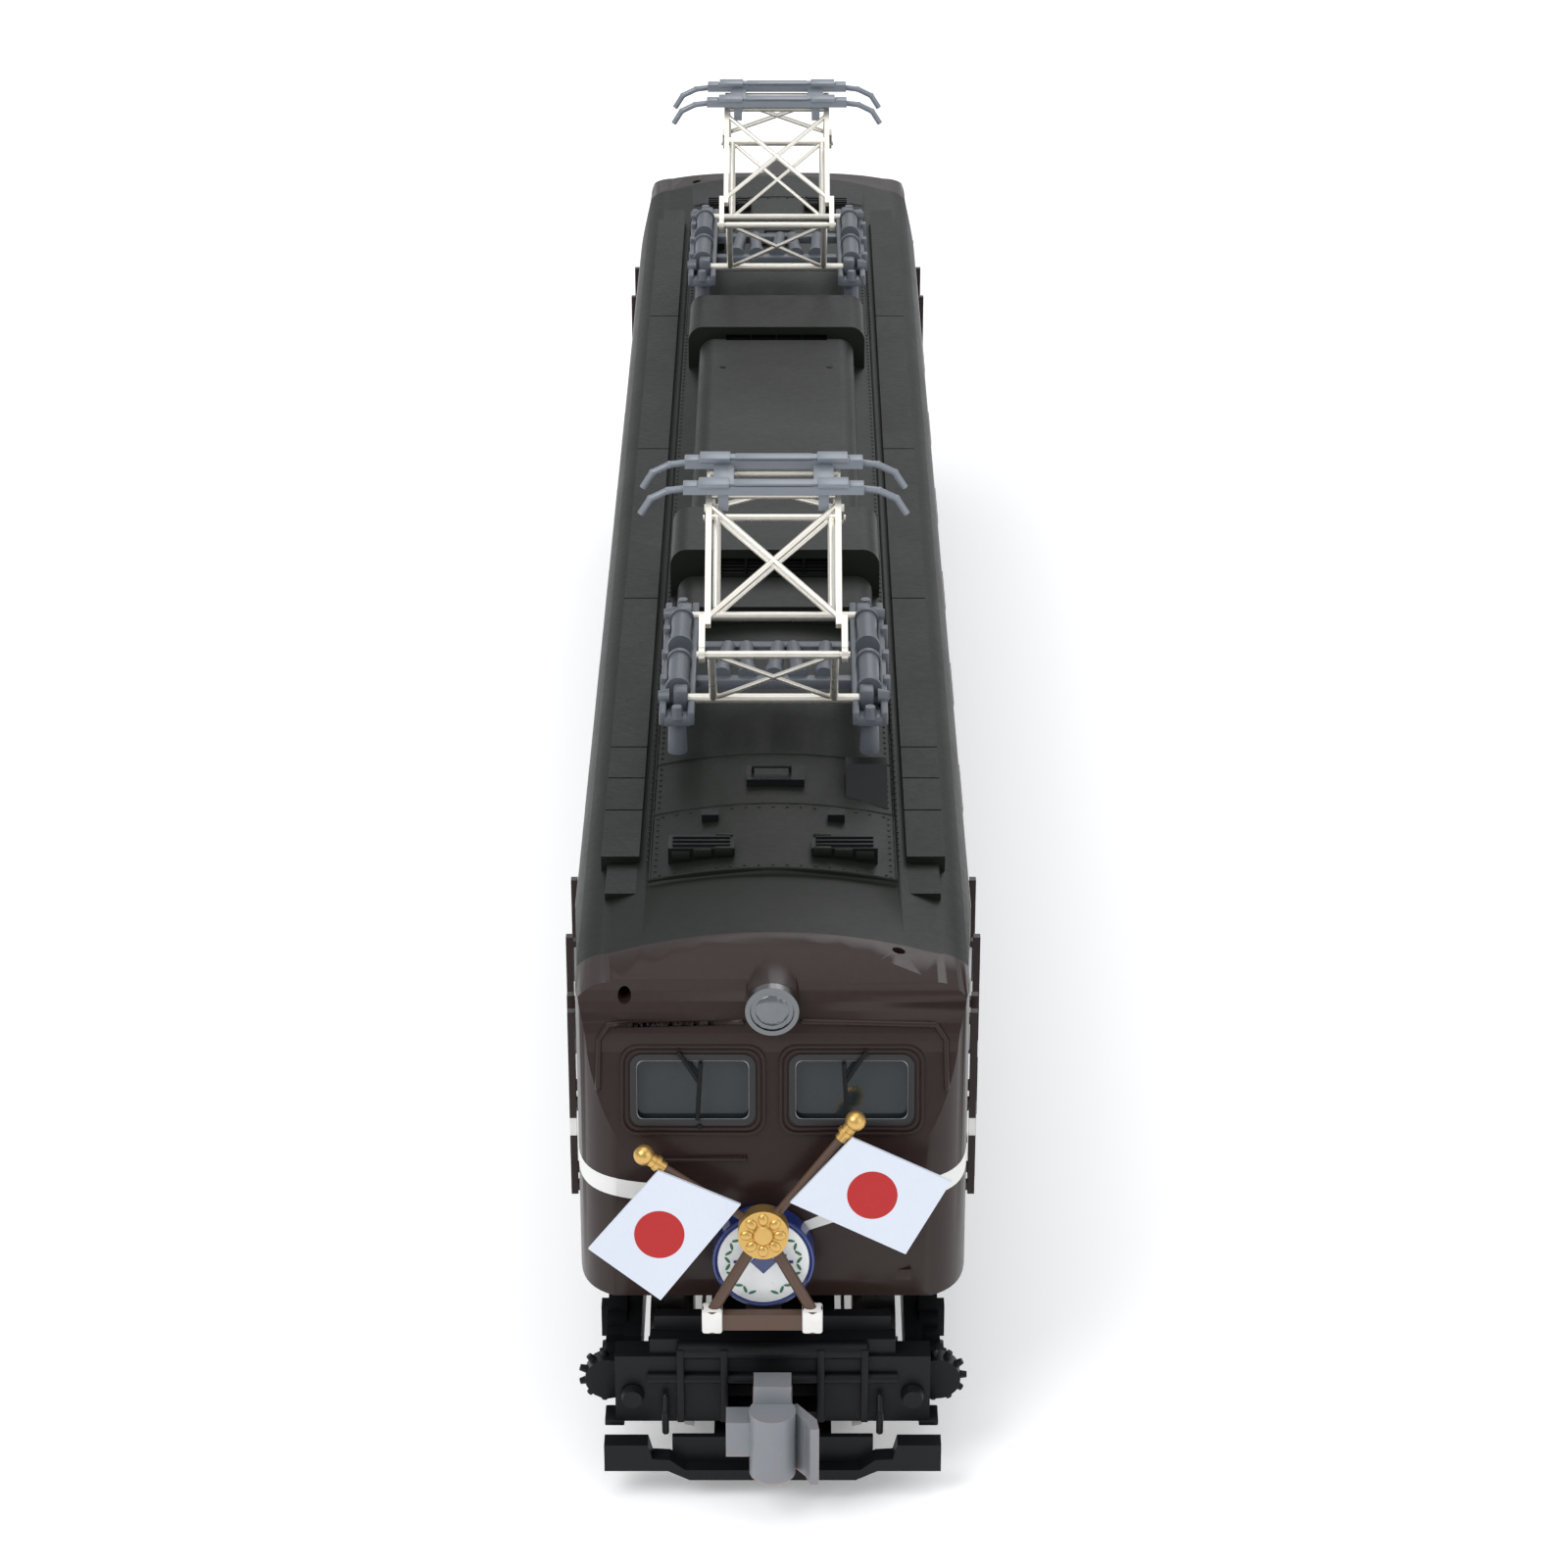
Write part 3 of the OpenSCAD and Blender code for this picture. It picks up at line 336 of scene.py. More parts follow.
bm = bmesh.new()
for way in (-1, 1):
    for end in (-1, 1):
        y = end * 46.5
        plate(bm, (way * 9.15 - 0.12, y + 1.0, 14.0), (way * 9.15 + 0.2, y + 1.5, 14.25), 0.04)
        plate(bm, (way * 9.15 - 0.12, y - 1.2, 16.9), (way * 9.15 + 0.13, y + 1.2, 20.4), 0.05)
        plate(bm, (way * 8.9 - 0.1, y - 1.9, 8.55), (way * 8.9 + 0.55, y + 1.9, 8.85), 0.05)
settled(bm, "side_door_fittings", "loco_body", brown_paint, flip=True)

# --------------------------------------------------------------- side louvres
# Air filters along the sides: pressed frames with sloping slats, one between each pair
# of windows, painted with the body.
bm = bmesh.new()
for way in (-1, 1):
    for index in range(-3, 3):
        middle = (index + 0.5) * 13
        for step in range(7):
            z = 17.2 + step * 0.45
            plate(bm, (way * 9.4 - 0.12, middle - 2.3, z - 0.13), (way * 9.4 + 0.12, middle + 2.3, z + 0.13), 0.03,
                  Matrix.Rotation(way * 0.5, 4, "Y"))
        for rim in ((middle - 2.6, middle - 2.3), (middle + 2.3, middle + 2.6)):
            plate(bm, (way * 9.4 - 0.14, rim[0], 16.8), (way * 9.4 + 0.14, rim[1], 20.3), 0.04)
        for rim in (16.8, 20.05):
            plate(bm, (way * 9.4 - 0.14, middle - 2.6, rim), (way * 9.4 + 0.14, middle + 2.6, rim + 0.25), 0.04)
settled(bm, "side_louvres", "loco_body", brown_paint, flip=True)

# ---------------------------------------------------------------------- roof
# The roof is the same moulding in dark grey-green satin paint. Its raised middle panel is
# held by rows of small round-headed rivets along the edges and across its joints.
ROOF = (0.0062, 0.0076, 0.0057)
roof_paint = Finish("roof_paint", ROOF, 0.46, grain=2600, spread=0.2, dent=0.006, Specular_IOR_Level=0.2)
soot = roof_paint.noise(95, 5) * roof_paint.noise(420, 3)
roof_paint.set("Base Color", (soot * 0.3).mix(roof_paint.link("Base Color"), (0.024, 0.025, 0.02, 1)))
roof_paint.on("roof_hoods")
rounded_copy("roof_panel", "roof_moulding", "loco_body", roof_paint)
board_paint = Finish("walkway_paint", ROOF, 0.5, grain=2200, dent=0.004, Specular_IOR_Level=0.2)
tread = board_paint.wire.node("ShaderNodeTexVoronoi", {}, {"Vector": board_paint.place, "Scale": 3400})
board_paint.bump(tread, 0.012)
board_paint.on("roof_walkways")


def roof_z(x, rise=0.0):
    """Height of the roof arch at a distance from its middle, in millimetres."""
    half, drop, top = 7.45, 1.1, 24.8 + rise
    radius = (half * half + drop * drop) / (2 * drop)
    return top - radius + math.sqrt(radius * radius - x * x)


bm = bmesh.new()


def rivet(x, y, rise=0.3):
    bmesh.ops.create_icosphere(bm, subdivisions=1, radius=0.085,
                               matrix=Matrix.Translation((x, y, roof_z(x, rise))) @ Matrix.Diagonal((1, 1, 0.6, 1)))


along = 25.2
while along < 51.3:
    for side in (-1, 1):
        for end in (-1, 1):
            rivet(side * 5.5, end * along)
            if along < 49:
                rivet(side * 5.92, end * along, 0)
    along += 0.62
for end in (-1, 1):
    for step in range(-8, 9):
        for seam in (44.9, 51.1):
            rivet(step * 0.66, end * seam)
along = -24.4
while along < 25:
    for side in (-1, 1):
        rivet(side * 5.66, along)
    along += 0.62
settled(bm, "roof_rivets", "loco_body", roof_paint)

bm = bmesh.new()
for end in (-1, 1):
    for seam in (44.5, 38.9, 51.4):
        seam_points = [(x * 1.15, end * seam, roof_z(x * 1.15, 0.3) - 0.02) for x in range(-5, 6)]
        bent_rod(bm, seam_points, 0.07, 8)
    for side in (-1, 1):
        bent_rod(bm, [(side * 5.75, end * y, roof_z(5.75, 0.28)) for y in (25, 35, 45, 51.3)], 0.06, 8)
        for y in (50.1, 48.7):
            for x in (1.9, 2.9, 3.9):
                plate(bm, (side * (x + 0.4) - 0.42, end * y - 0.1, roof_z(x, 0.3) + 0.1),
                      (side * (x + 0.4) + 0.42, end * y + 0.1, roof_z(x, 0.3) + 0.5), 0.03)
settled(bm, "roof_seams", "loco_body", roof_paint, flip=True)

# ----------------------------------------------------------- roof fittings
# Black plastic ventilators, inspection hatch and cable duct on the roof, and the slatted
# grilles in the ends of the air hoods.
black_plastic = Finish("black_plastic", (0.0062, 0.0064, 0.007), 0.42, grain=2400, dent=0.006, Specular_IOR_Level=0.18)
black_plastic.on("roof_fittings", "wipers", "underfloor_boxes")
bm = bmesh.new()
for y in (-17.1, 18.9):
    for step in range(5):
        z = 25.78 + step * 0.2
        plate(bm, (-3.1, y - 0.22, z - 0.03), (3.1, y + 0.1, z + 0.03), 0.01, Matrix.Rotation(0.5, 4, "X"))
    for x in (-1.55, 0, 1.55):
        plate(bm, (x - 0.06, y - 0.3, 25.68), (x + 0.06, y + 0.1, 26.68), 0.01)
for side in (-1, 1):
    for end in (-1, 1):
        for step in range(3):
            y = end * (49.0 + step * 0.4)
            plate(bm, (side * 3.35 - 1.35, y - 0.07, 25.43), (side * 3.35 + 1.35, y + 0.07, 25.55), 0.02)
for end in (-1, 1):
    bent_rod(bm, [(end * 0.1 - 0.9, end * 41.8, 25.45), (end * 0.1 - 0.9, end * 41.8, 25.75),
                  (end * 0.1 + 0.9, end * 41.8, 25.75), (end * 0.1 + 0.9, end * 41.8, 25.45)], 0.07, 8)
settled(bm, "roof_slats", "loco_body", black_plastic, flip=True)
bm = bmesh.new()
for x in (-3.2, 3.2):
    for y in (12.6, -5.6):
        rod(bm, (x, y, 26.6), (x, y, 26.74), 0.22, 20, 0.19)
        rod(bm, (x, y, 26.7), (x, y, 26.76), 0.09, 12, 0.07)
settled(bm, "roof_cover_screws", "loco_body", roof_paint, flip=True)

# ------------------------------------------------------------------- glazing
# Window glass is one clear moulding behind the openings; its near-black colour is painted
# shade of the dark cab behind it. The wipers lie on it. The headlight is a bright rim
# round a clear stepped lens, coloured dark grey as painted shade of the housing behind it.
# near-black glass colour: painted shade of the unlit cab seen through the clear glass
glass = Finish("window_glass", (0.017, 0.024, 0.027), 0.12, spread=0.05, dent=0.001, Coat_Weight=0.6, Coat_Roughness=0.04)
glass.on("window_glazing")
chrome = Finish("polished_rim", (0.16, 0.165, 0.17), 0.26, spread=0.04, dent=0.001, Metallic=1.0)
chrome.on("headlight_rims")
# dark grey lens colour: painted shade of the unlit housing behind the clear lens
lens = Finish("headlight_lens", (0.11, 0.12, 0.13), 0.16, spread=0.2, dent=0.002, Metallic=0.5, Coat_Weight=1.0)
flutes = lens.wire.node("ShaderNodeTexWave", {"wave_type": "BANDS", "bands_direction": "X"},
                        {"Vector": lens.place, "Scale": 900}, 1)
lens.bump(flutes, 0.02)
lens.on("headlight_prisms")
bm = bmesh.new()
for end in (-1, 1):
    dome = bmesh.ops.create_uvsphere(bm, u_segments=32, v_segments=16, radius=0.8)["verts"]
    bmesh.ops.transform(bm, matrix=Matrix.Translation((0, end * 61.93, 23.3)) @ Matrix.Diagonal((1, 0.28, 1, 1)), verts=dome)
settled(bm, "headlight_glass", "loco_body", lens)
bm = bmesh.new()
for side in (-1, 1):
    pivot = (side * 3.25, nose_y(18.0) - 0.16, 17.75)
    rod(bm, (pivot[0], pivot[1] + 0.3, pivot[2]), (pivot[0], pivot[1] - 0.08, pivot[2]), 0.16, 16, 0.12)
mirrored_ends(bm)
settled(bm, "wiper_pivots", "loco_body", black_plastic, flip=True)

# -------------------------------------------------------- chassis and drive
# Two die-cast halves hold the motor between them, and the light board lies on top. The
# rotor drives both worms, and each worm drives its truck through nylon gears.
die_cast = Finish("die_cast_metal", (0.12, 0.125, 0.13), 0.5, grain=900, dent=0.02, Metallic=0.7)
die_cast.on("chassis_left", "chassis_right")
board = Finish("circuit_board", (0.02, 0.1, 0.045), 0.38, grain=700, dent=0.003)
tracks = board.wire.node("ShaderNodeTexBrick", {}, {"Vector": board.place, "Scale": 260}, 1)
board.paint(tracks * 0.4, (0.5, 0.33, 0.12))
board.on("light_board")
plated = Finish("plated_steel", (0.42, 0.41, 0.39), 0.32, grain=1500, dent=0.004, Metallic=1.0)
plated.on("motor_case", "truck_screws")
winding = Finish("copper_winding", (0.5, 0.19, 0.06), 0.35, Metallic=0.9)
coils = winding.wire.node("ShaderNodeTexWave", {"bands_direction": "Y"}, {"Vector": winding.place, "Scale": 1400}, 1)
winding.bump(coils, 0.04)
winding.on("motor_armature")
brass = Finish("turned_brass", (0.62, 0.43, 0.15), 0.26, Metallic=1.0)
lathe_marks = brass.wire.node("ShaderNodeTexWave", {"wave_type": "RINGS", "rings_direction": "Y"},
                              {"Vector": brass.place, "Scale": 1100}, 1)
brass.bump(lathe_marks, 0.004)
brass.on("flywheels")
nylon = Finish("white_nylon", (0.66, 0.65, 0.6), 0.44, dent=0.004, Subsurface_Weight=0.15)
nylon.on("front_worm", "rear_worm", "front_idler_inner", "front_idler_outer", "rear_idler_inner", "rear_idler_outer")

# ------------------------------------------------------------------ wheelsets
# Blackened wheels with bright turned treads, pressed on steel axles. A ring and a row of
# spokes are moulded in the outer face of each.
steel_wheel = Finish("wheel_steel", (0.4, 0.39, 0.37), 0.3, dent=0.004, Metallic=1.0)
steel_wheel.on(*[f"driver_wheelset_{n}" for n in range(1, 7)], *[f"pilot_wheelset_{n}" for n in range(1, 5)])
wheel_face = Finish("wheel_face", (0.05, 0.045, 0.042), 0.45, dent=0.006, Metallic=0.4)
WHEELS = [(f"driver_axle_{n}", f"driver_{n}", y, 4.75, 3.55, 12) for n, y in enumerate((-34, -21.5, -9, 9, 21.5, 34), 1)]
WHEELS += [(f"pilot_axle_{n}", f"pilot_{n}", y, 3.45, 2.25, 9) for n, y in enumerate((-59, -45, 45, 59), 1)]
for body, name, y, z, reach, spokes in WHEELS:
    bm = bmesh.new()
    for side in (-1, 1):
        for spoke in range(spokes):
            turn = spoke * 2 * math.pi / spokes
            start, end = (Vector((side * 5.46, y + math.sin(turn) * r, z + math.cos(turn) * r)) for r in (0.95, reach))
            rod(bm, start, end, 0.2, 6, 0.14)
        for step in range(40):
            turns = (step * math.pi / 20, (step + 1) * math.pi / 20)
            rod(bm, *[(side * 5.46, y + math.sin(t) * reach, z + math.cos(t) * reach) for t in turns], 0.12, 6)
    settled(bm, name + "_spokes", body, wheel_face)

# --------------------------------------------------------------------- trucks
# Black plastic frames with axle boxes, leaf springs, coil springs and brake hangers, and
# cream pick-up strips that rub on the backs of the wheels.
frame_plastic = Finish("frame_plastic", (0.0068, 0.0072, 0.008), 0.4, grain=2000, dent=0.01, Specular_IOR_Level=0.18)
frame_plastic.on("front_gearbox", "rear_gearbox", "front_side_frames", "rear_side_frames", "front_pilot_truck",
                 "rear_pilot_truck", "front_plough", "rear_plough")


def spring(bm, x, y, low, high, radius=0.3, wire=0.09, turns=5):
    """Upright coil spring."""
    count = turns * 12
    points = [(x + radius * math.cos(i * math.pi / 6), y + radius * math.sin(i * math.pi / 6), low + (high - low) * i / count)
              for i in range(count + 1)]
    for start, end in zip(points, points[1:]):
        rod(bm, start, end, wire, 6)


for end, name in ((-1, "front"), (1, "rear")):
    bm = bmesh.new()
    for side in (-1, 1):
        for axle in (9, 21.5, 34):
            y = end * axle
            rod(bm, (side * 7.7, y, 4.75), (side * 8.15, y, 4.75), 0.8, 20, 0.66)
            rod(bm, (side * 8.1, y, 4.75), (side * 8.3, y, 4.75), 0.3, 12, 0.22)
            for shift in (-1.75, 1.75):
                spring(bm, side * 7.4, y + shift, 4.3, 6.2)
                rod(bm, (side * 7.4, y + shift, 3.9), (side * 7.4, y + shift, 4.4), 0.4, 12)
            for shift in (-5.1, 5.1):
                plate(bm, (side * 6.75 - 0.2, y + shift - 0.3, 2.6), (side * 6.75 + 0.2, y + shift + 0.3, 6.0), 0.08)
                plate(bm, (side * 6.6 - 0.5, y + shift - 0.45, 3.6), (side * 6.6 + 0.35, y + shift + 0.45, 4.7), 0.1)
        bent_rod(bm, [(side * 7.25, end * y, 2.75) for y in (5.4, 14, 24, 37)], 0.12, 8)
    settled(bm, name + "_truck_details", name + "_truck", frame_plastic, flip=True)
    bm = bmesh.new()
    for side in (-1, 1):
        for axle in (45, 59):
            y = end * axle
            rod(bm, (side * 7.6, y, 3.45), (side * 8.0, y, 3.45), 0.68, 20, 0.56)
            rod(bm, (side * 7.95, y, 3.45), (side * 8.15, y, 3.45), 0.25, 12, 0.18)
            for shift in (-1.35, 1.35):
                spring(bm, side * 7.35, y + shift, 3.1, 4.8, 0.26, 0.08)
        for x in (2.2, 4.2):
            plate(bm, (side * x - 0.17, end * 64.35 - 0.3, 3.3), (side * x + 0.17, end * 64.35 + 0.3, 7.2), 0.06)
        hub = Vector((side * 7.6, end * 62.3, 4.4))
        rod(bm, hub - Vector((0, 0.45, 0)), hub + Vector((0, 0.45, 0)), 1.05, 20)
        for step in range(11):
            tooth = Vector((math.cos(step * 0.571), 0, math.sin(step * 0.571)))
            rod(bm, hub + tooth * 0.9, hub + tooth * 1.35, 0.22, 8, 0.15)
        rod(bm, (side * 6.4, end * 64.3, 4.6), (side * 6.4, end * 64.75, 4.6), 0.55, 20, 0.45)
        bent_rod(bm, [(side * 4.9, end * 64.5, 4.6), (side * 4.9, end * 64.9, 4.1), (side * 4.9, end * 64.75, 2.9)], 0.17)
        plate(bm, (side * 7.2 - 0.5, end * 63.6 - 0.7, 2.9), (side * 7.2 + 0.4, end * 63.6 + 0.6, 3.2), 0.06)
    rod(bm, (-4.3, end * 64.2, 6.95), (4.3, end * 64.2, 6.95), 0.42, 20)
    rod(bm, (-5.7, end * 64.3, 5.5), (5.7, end * 64.3, 5.5), 0.26, 16)
    settled(bm, name + "_pilot_details", name + "_pilot", frame_plastic, flip=True)
pickup = Finish("pickup_strip", (0.5, 0.42, 0.3), 0.36, Metallic=0.6)
for end, name in ((-1, "front"), (1, "rear")):
    bm = bmesh.new()
    for side in (-1, 1):
        for low, high in ((43.2, 50.8), (53.2, 61.4)):
            plate(bm, (side * 3.3 - 0.07, min(end * low, end * high), 3.0), (side * 3.3 + 0.07, max(end * low, end * high), 4.8), 0.02)
    settled(bm, name + "_pickup_strips", name + "_pilot", pickup, flip=True)

# ------------------------------------------------------------------- couplers
# Knuckle couplers in smoky grey plastic that lets some light through.
smoky = Finish("smoky_plastic", (0.2, 0.212, 0.23), 0.34, grain=1400, spread=0.08, dent=0.004, Subsurface_Weight=0.3,
               Subsurface_Scale=0.001)
smoky.on("front_coupler", "rear_coupler")

# ----------------------------------------------------------------- pantographs
# Bases and lower arms are moulded in blue-grey plastic, with springs and insulators. The
# upper arms are bright etched metal, and the heads carry grey contact strips.
panto_plastic = Finish("panto_plastic", (0.085, 0.097, 0.114), 0.42, grain=2200, spread=0.12, dent=0.006)
etched = Finish("etched_metal", (0.72, 0.69, 0.62), 0.3, grain=2600, dent=0.004, Metallic=0.75)
etched.on(*[f"{e}_panto_{p}" for e in ("front", "rear") for p in ("upper_a", "upper_b", "lower_a", "lower_b")])
strip_metal = Finish("strip_metal", (0.2, 0.22, 0.25), 0.38, grain=2400, dent=0.005, Metallic=0.25)
strip_metal.on("front_panto_head", "rear_panto_head")
bm = bmesh.new()
for middle in (-33.2, 33.2):
    for side in (-1, 1):
        for x in (4.02, 5.4):
            plate(bm, (side * x - 0.17, middle - 6.9, 27.15), (side * x + 0.17, middle + 6.9, 27.85), 0.08)
        for shift in (-6.5, -4.6, -0.05, 4.6, 6.5):
            plate(bm, (side * 4.7 - 0.65, middle + shift - 0.4, 27.1), (side * 4.7 + 0.65, middle + shift + 0.4, 27.6), 0.08)
        for shift in (-6.2, 6.2):
            rod(bm, (side * 4.7, middle + shift, 25.5), (side * 4.7, middle + shift, 27.3), 0.5, 18, 0.42)
            rod(bm, (side * 4.7, middle + shift * 1.08, 27.5), (side * 4.7, middle + shift * 1.08, 28.1), 0.34, 16, 0.24)
        for start, stop in ((-4.3, -0.9), (0.9, 4.3)):
            rod(bm, (side * 4.7, middle + start, 28.0), (side * 4.7, middle + stop, 28.0), 0.52, 20)
            for y in (start, stop):
                rod(bm, (side * 4.7, middle + y - 0.14, 28.0), (side * 4.7, middle + y + 0.14, 28.0), 0.62, 20)
        for shift in (-5.1, 5.1):
            plate(bm, (side * 4.55 - 0.36, middle + shift - 0.5, 27.3), (side * 4.55 + 0.36, middle + shift + 0.5, 28.4), 0.14)
            rod(bm, (side * 5.1, middle + shift, 27.9), (side * 5.65, middle + shift, 27.9), 0.42, 14, 0.3)
        for shift in (-3.1, 0, 3.1):
            plate(bm, (side * 5.5 - 0.1, middle + shift - 0.3, 26.95), (side * 5.5 + 0.25, middle + shift + 0.3, 28.1), 0.05)
    for shift in (-2.1, 2.1):
        plate(bm, (-4.0, middle + shift - 0.35, 27.1), (4.0, middle + shift + 0.35, 27.6), 0.07)
    for x, turn in ((-2.6, 0.3), (-1.3, -0.1), (0.0, 0.2), (1.2, -0.25), (2.5, 0.1)):
        rod(bm, (x, middle - 1.7, 27.55), (x + turn, middle + 1.7, 27.6), 0.42, 16, 0.36)
        rod(bm, (x, middle - 1.9, 27.55), (x, middle - 1.3, 27.55), 0.5, 16)
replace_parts(settled(bm, "panto_base_castings", "loco_body", panto_plastic, flip=True), "pantograph_bases")
for end, name in ((-1, "front"), (1, "rear")):
    middle = end * 33.2
    head_low, head_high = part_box(name + "_panto_head")
    top = head_high.z / MM
    bm = bmesh.new()
    for shift in (-1.75, 1.75):
        y = middle + shift
        for side in (-1, 1):
            plate(bm, (side * 2.9 - 0.75, y - 0.52, top - 0.2), (side * 2.9 + 0.75, y + 0.52, top + 0.06), 0.05)
            plate(bm, (side * 4.05 - 0.35, y - 0.4, top - 0.36), (side * 4.05 + 0.35, y + 0.4, top - 0.06), 0.05)
        plate(bm, (-1.9, y - 0.36, top - 0.1), (1.9, y + 0.36, top + 0.02), 0.03)
    for side in (-1, 1):
        plate(bm, (side * 2.45 - 0.5, middle - 1.3, top - 0.45), (side * 2.45 + 0.5, middle + 1.3, top - 0.3), 0.03)
    settled(bm, name + "_contact_strips", name + "_panto_collector", strip_metal, flip=True)

# -------------------------------------------------------------- flag stand
# Two brown poles cross behind a gilt boss, on a bracket under the nose. Each pole has a
# gilt ball and collar at its tip, and each leg stands in a white socket.
STAND = Matrix.Translation((0, -65, 13.5)) @ Matrix.Rotation(math.radians(80), 4, "X")
pole_wood = Finish("pole_paint", (0.075, 0.04, 0.024), 0.42, grain=1500, dent=0.006)
pole_wood.on("flag_stand")
gilt = Finish("gilt", (0.6, 0.38, 0.12), 0.34, grain=1700, spread=0.2, dent=0.008, Metallic=0.85)
socket_white = Finish("socket_white", (0.72, 0.71, 0.68), 0.4)
tips = ((-5.7, 3.85), (3.7, 5.45))
bm = bmesh.new()
for u, v in tips:
    ball = bmesh.ops.create_uvsphere(bm, u_segments=24, v_segments=14, radius=0.47)["verts"]
    bmesh.ops.translate(bm, vec=Vector((u, v, 0)), verts=ball)
    inward = (Vector((-0.4, 0.3, 0)) - Vector((u, v, 0))).normalized()
    for start, stop, radius in ((0.35, 0.6, 0.32), (0.6, 0.78, 0.38), (0.78, 1.1, 0.27)):
        rod(bm, Vector((u, v, 0)) + inward * start, Vector((u, v, 0)) + inward * stop, radius, 18)
rod(bm, (-0.4, 0.3, -0.25), (-0.4, 0.3, 0.72), 1.13, 40)
rod(bm, (-0.4, 0.3, 0.7), (-0.4, 0.3, 0.86), 0.52, 24, 0.4)
for petal in range(8):
    turn = petal * math.pi / 4
    leaf = bmesh.ops.create_uvsphere(bm, u_segments=12, v_segments=8, radius=0.3)["verts"]
    bmesh.ops.transform(bm, matrix=Matrix.Translation((-0.4 + 0.74 * math.cos(turn), 0.3 + 0.74 * math.sin(turn), 0.72))
                        @ Matrix.Rotation(turn, 4, "Z") @ Matrix.Diagonal((1, 0.8, 0.45, 1)), verts=leaf)
bmesh.ops.transform(bm, matrix=STAND, verts=bm.verts)
settled(bm, "flag_stand_gilding", "loco_body", gilt)
bm = bmesh.new()
for x in (-2.7, 1.8):
    plate(bm, (x - 0.46, -66.11, 9.02), (x + 0.46, -65.19, 10.17), 0.12)
settled(bm, "flag_leg_sockets", "loco_body", socket_white, flip=True)

# ---------------------------------------------------------------------- flags
# Two small flags of printed card, white with a red disc, each fixed along its pole. The
# card has a faint weave and slow folds that run down from the pole.
for node, centre in (("flag_left", (-5.03, 0.24)), ("flag_right", (4.45, 2.11))):
    card = Finish(node + "_card", (0.6, 0.64, 0.72), 0.5, spread=0.03, dent=0.002)
    middle = (STAND @ Vector((*centre, 0.33))) * MM
    away = card.wire.node("ShaderNodeVectorMath", {"operation": "DISTANCE"}, {0: card.place, 1: middle}, 1)
    card.paint(away < 1.13 * MM, (0.4, 0.004, 0.004), rough=0.42)
    weave = card.noise(9000, 1)
    folds = card.wire.node("ShaderNodeTexWave", {"bands_direction": "X"},
                           {"Vector": card.place, "Scale": 60, "Distortion": 2.0, "Detail": 1}, 1)
    card.bump(folds * 8 + weave, 0.012)
    card.on(node)

# ------------------------------------------------------------------ head mark
# A round enamelled plate: a raised blue rim round a white face with a green wreath and a
# plain blue pattern of a lozenge between bars.
enamel = Finish("navy_enamel", (0.012, 0.03, 0.16), 0.26, Coat_Weight=0.6)
enamel.on("head_mark")
white_enamel = Finish("white_enamel", (0.8, 0.82, 0.83), 0.3, spread=0.03, Coat_Weight=0.5)
green_enamel = Finish("green_enamel", (0.03, 0.16, 0.07), 0.35)
MARK = Matrix.Translation((-0.4, -63.95, 11.85)) @ Matrix.Rotation(math.radians(86), 4, "X")


def laid(bm, name, finish):
    bmesh.ops.transform(bm, matrix=MARK, verts=bm.verts)
    settled(bm, name, "loco_body", finish, flip=True)


bm = bmesh.new()
rod(bm, (0, 0, 0.55), (0, 0, 0.63), 2.08, 64, 2.05)
laid(bm, "head_mark_face", white_enamel)
bm = bmesh.new()
for step in range(64):
    ends = [(2.19 * math.cos(t * math.pi / 32), 2.19 * math.sin(t * math.pi / 32), 0.56) for t in (step, step + 1)]
    rod(bm, *ends, 0.12, 8)
laid(bm, "head_mark_rim", enamel)
bm = bmesh.new()
for step in range(26):
    turn = math.radians(-72 + step * 12.5) if step < 13 else math.radians(252 - (step - 13) * 12.5)
    if abs(math.degrees(turn) - 90) < 24:
        continue
    lean = 0.7 if step % 2 else -0.7
    leaf = bmesh.ops.create_uvsphere(bm, u_segments=8, v_segments=6, radius=0.2)["verts"]
    bmesh.ops.transform(bm, matrix=Matrix.Translation((1.62 * math.cos(turn), 1.62 * math.sin(turn), 0.64))
                        @ Matrix.Rotation(turn + math.pi / 2 + lean, 4, "Z") @ Matrix.Diagonal((1, 0.36, 0.14, 1)), verts=leaf)
laid(bm, "head_mark_wreath", green_enamel)
bm = bmesh.new()
plate(bm, (-0.42, -0.42, 0.62), (0.42, 0.42, 0.68), 0.02, Matrix.Rotation(math.pi / 4, 4, "Z"))
for x in (-1.0, 1.0):
    for v in (-0.3, 0, 0.3):
        plate(bm, (x - 0.34 + abs(v), v - 0.07, 0.62), (x + 0.34 - abs(v), v + 0.07, 0.67), 0.01)
laid(bm, "head_mark_pattern", enamel)

# ------------------------------------------------------------------ the rest
# Drive couplings are plain grey plastic.
panto_plastic.on("cardan_shafts")

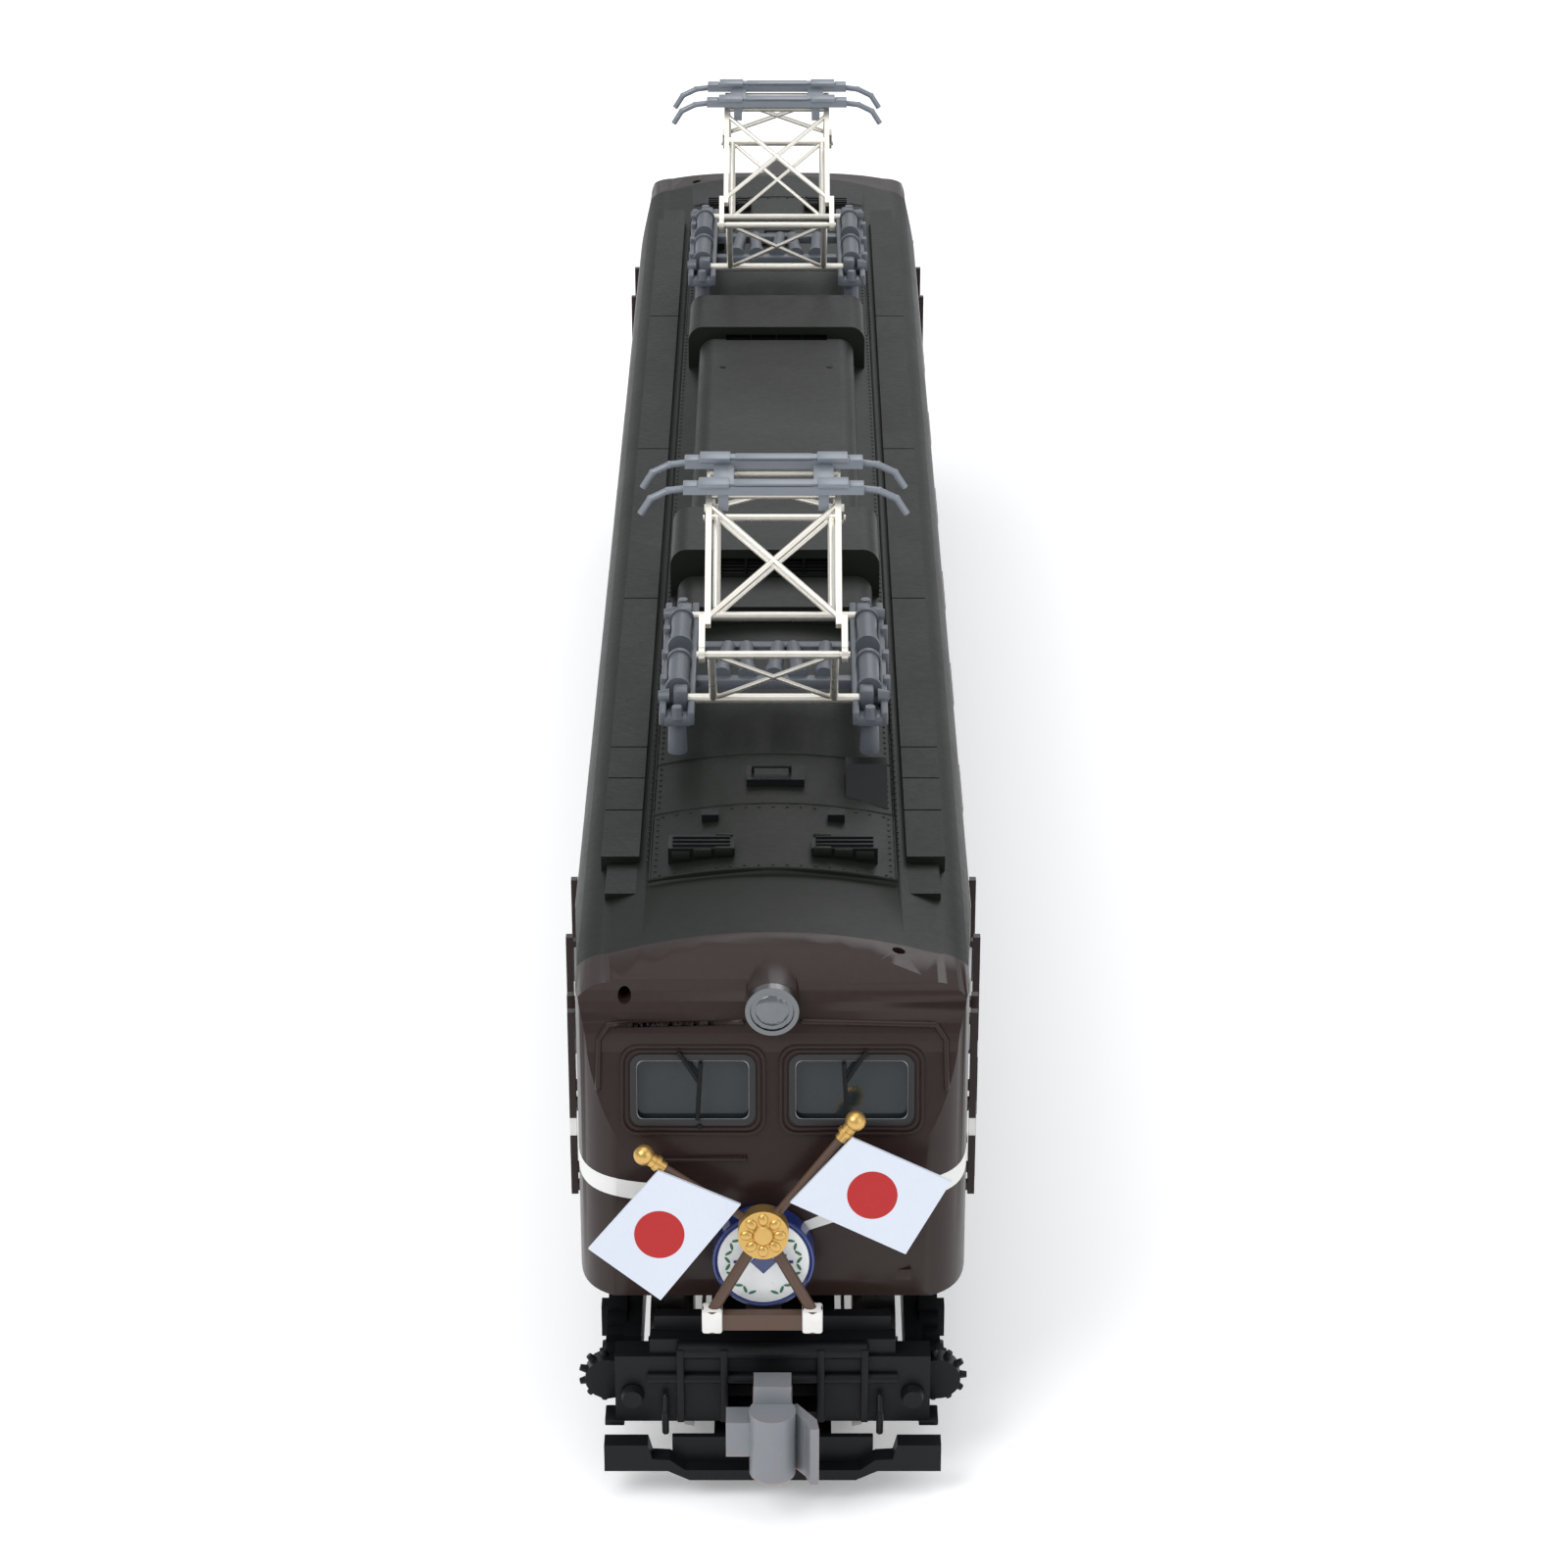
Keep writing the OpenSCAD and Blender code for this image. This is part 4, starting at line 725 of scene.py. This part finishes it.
# ---------------------------------------------------------------------- stage
# A pale seamless floor, large soft lamps and the camera.
sweep = bpy.data.materials.new("pale_floor")
sweep.use_nodes = True
sweep.node_tree.nodes["Principled BSDF"].inputs["Base Color"].default_value = (0.9, 0.9, 0.9, 1)
sweep.node_tree.nodes["Principled BSDF"].inputs["Roughness"].default_value = 0.9
sweep.node_tree.nodes["Principled BSDF"].inputs["Emission Color"].default_value = (1, 1, 1, 1)
sweep.node_tree.nodes["Principled BSDF"].inputs["Emission Strength"].default_value = 0.22
bm = bmesh.new()
bmesh.ops.create_grid(bm, x_segments=1, y_segments=1, size=3)
floor_mesh = bpy.data.meshes.new("floor")
bm.to_mesh(floor_mesh)
bm.free()
floor_mesh.materials.append(sweep)
floor = bpy.data.objects.new("floor", floor_mesh)
floor.location.z = -0.0002
bpy.context.scene.collection.objects.link(floor)


def lamp(name, place, power, size):
    data = bpy.data.lights.new(name, "AREA")
    data.energy, data.size = power, size
    made = bpy.data.objects.new(name, data)
    made.location = place
    made.rotation_euler = (Vector((0, -0.02, 0.015)) - Vector(place)).to_track_quat("-Z", "Y").to_euler()
    bpy.context.scene.collection.objects.link(made)


bpy.context.scene.view_settings.view_transform = "Standard"
lamp("key", (-0.28, -0.3, 0.42), 1.5, 0.3)
lamp("fill", (0.4, -0.34, 0.22), 0.6, 0.4)
lamp("back", (0.1, 0.45, 0.4), 0.7, 0.35)
lamp("overhead", (0, -0.02, 0.5), 0.6, 0.4)
world = bpy.data.worlds.new("studio")
bpy.context.scene.world = world
world.use_nodes = True
world.node_tree.nodes["Background"].inputs["Color"].default_value = (0.94, 0.96, 1.0, 1)
world.node_tree.nodes["Background"].inputs["Strength"].default_value = 0.6

camera_data = bpy.data.cameras.new("camera")
camera_data.lens = 96.24
camera_data.sensor_width = 36
camera_data.shift_x = -0.0025
camera_data.clip_start = 0.01
camera = bpy.data.objects.new("camera", camera_data)
camera.location = (0.0007, -0.22545, 0.11215)
camera.rotation_euler = (math.radians(64.57), 0, 0)
bpy.context.scene.collection.objects.link(camera)
bpy.context.scene.camera = camera
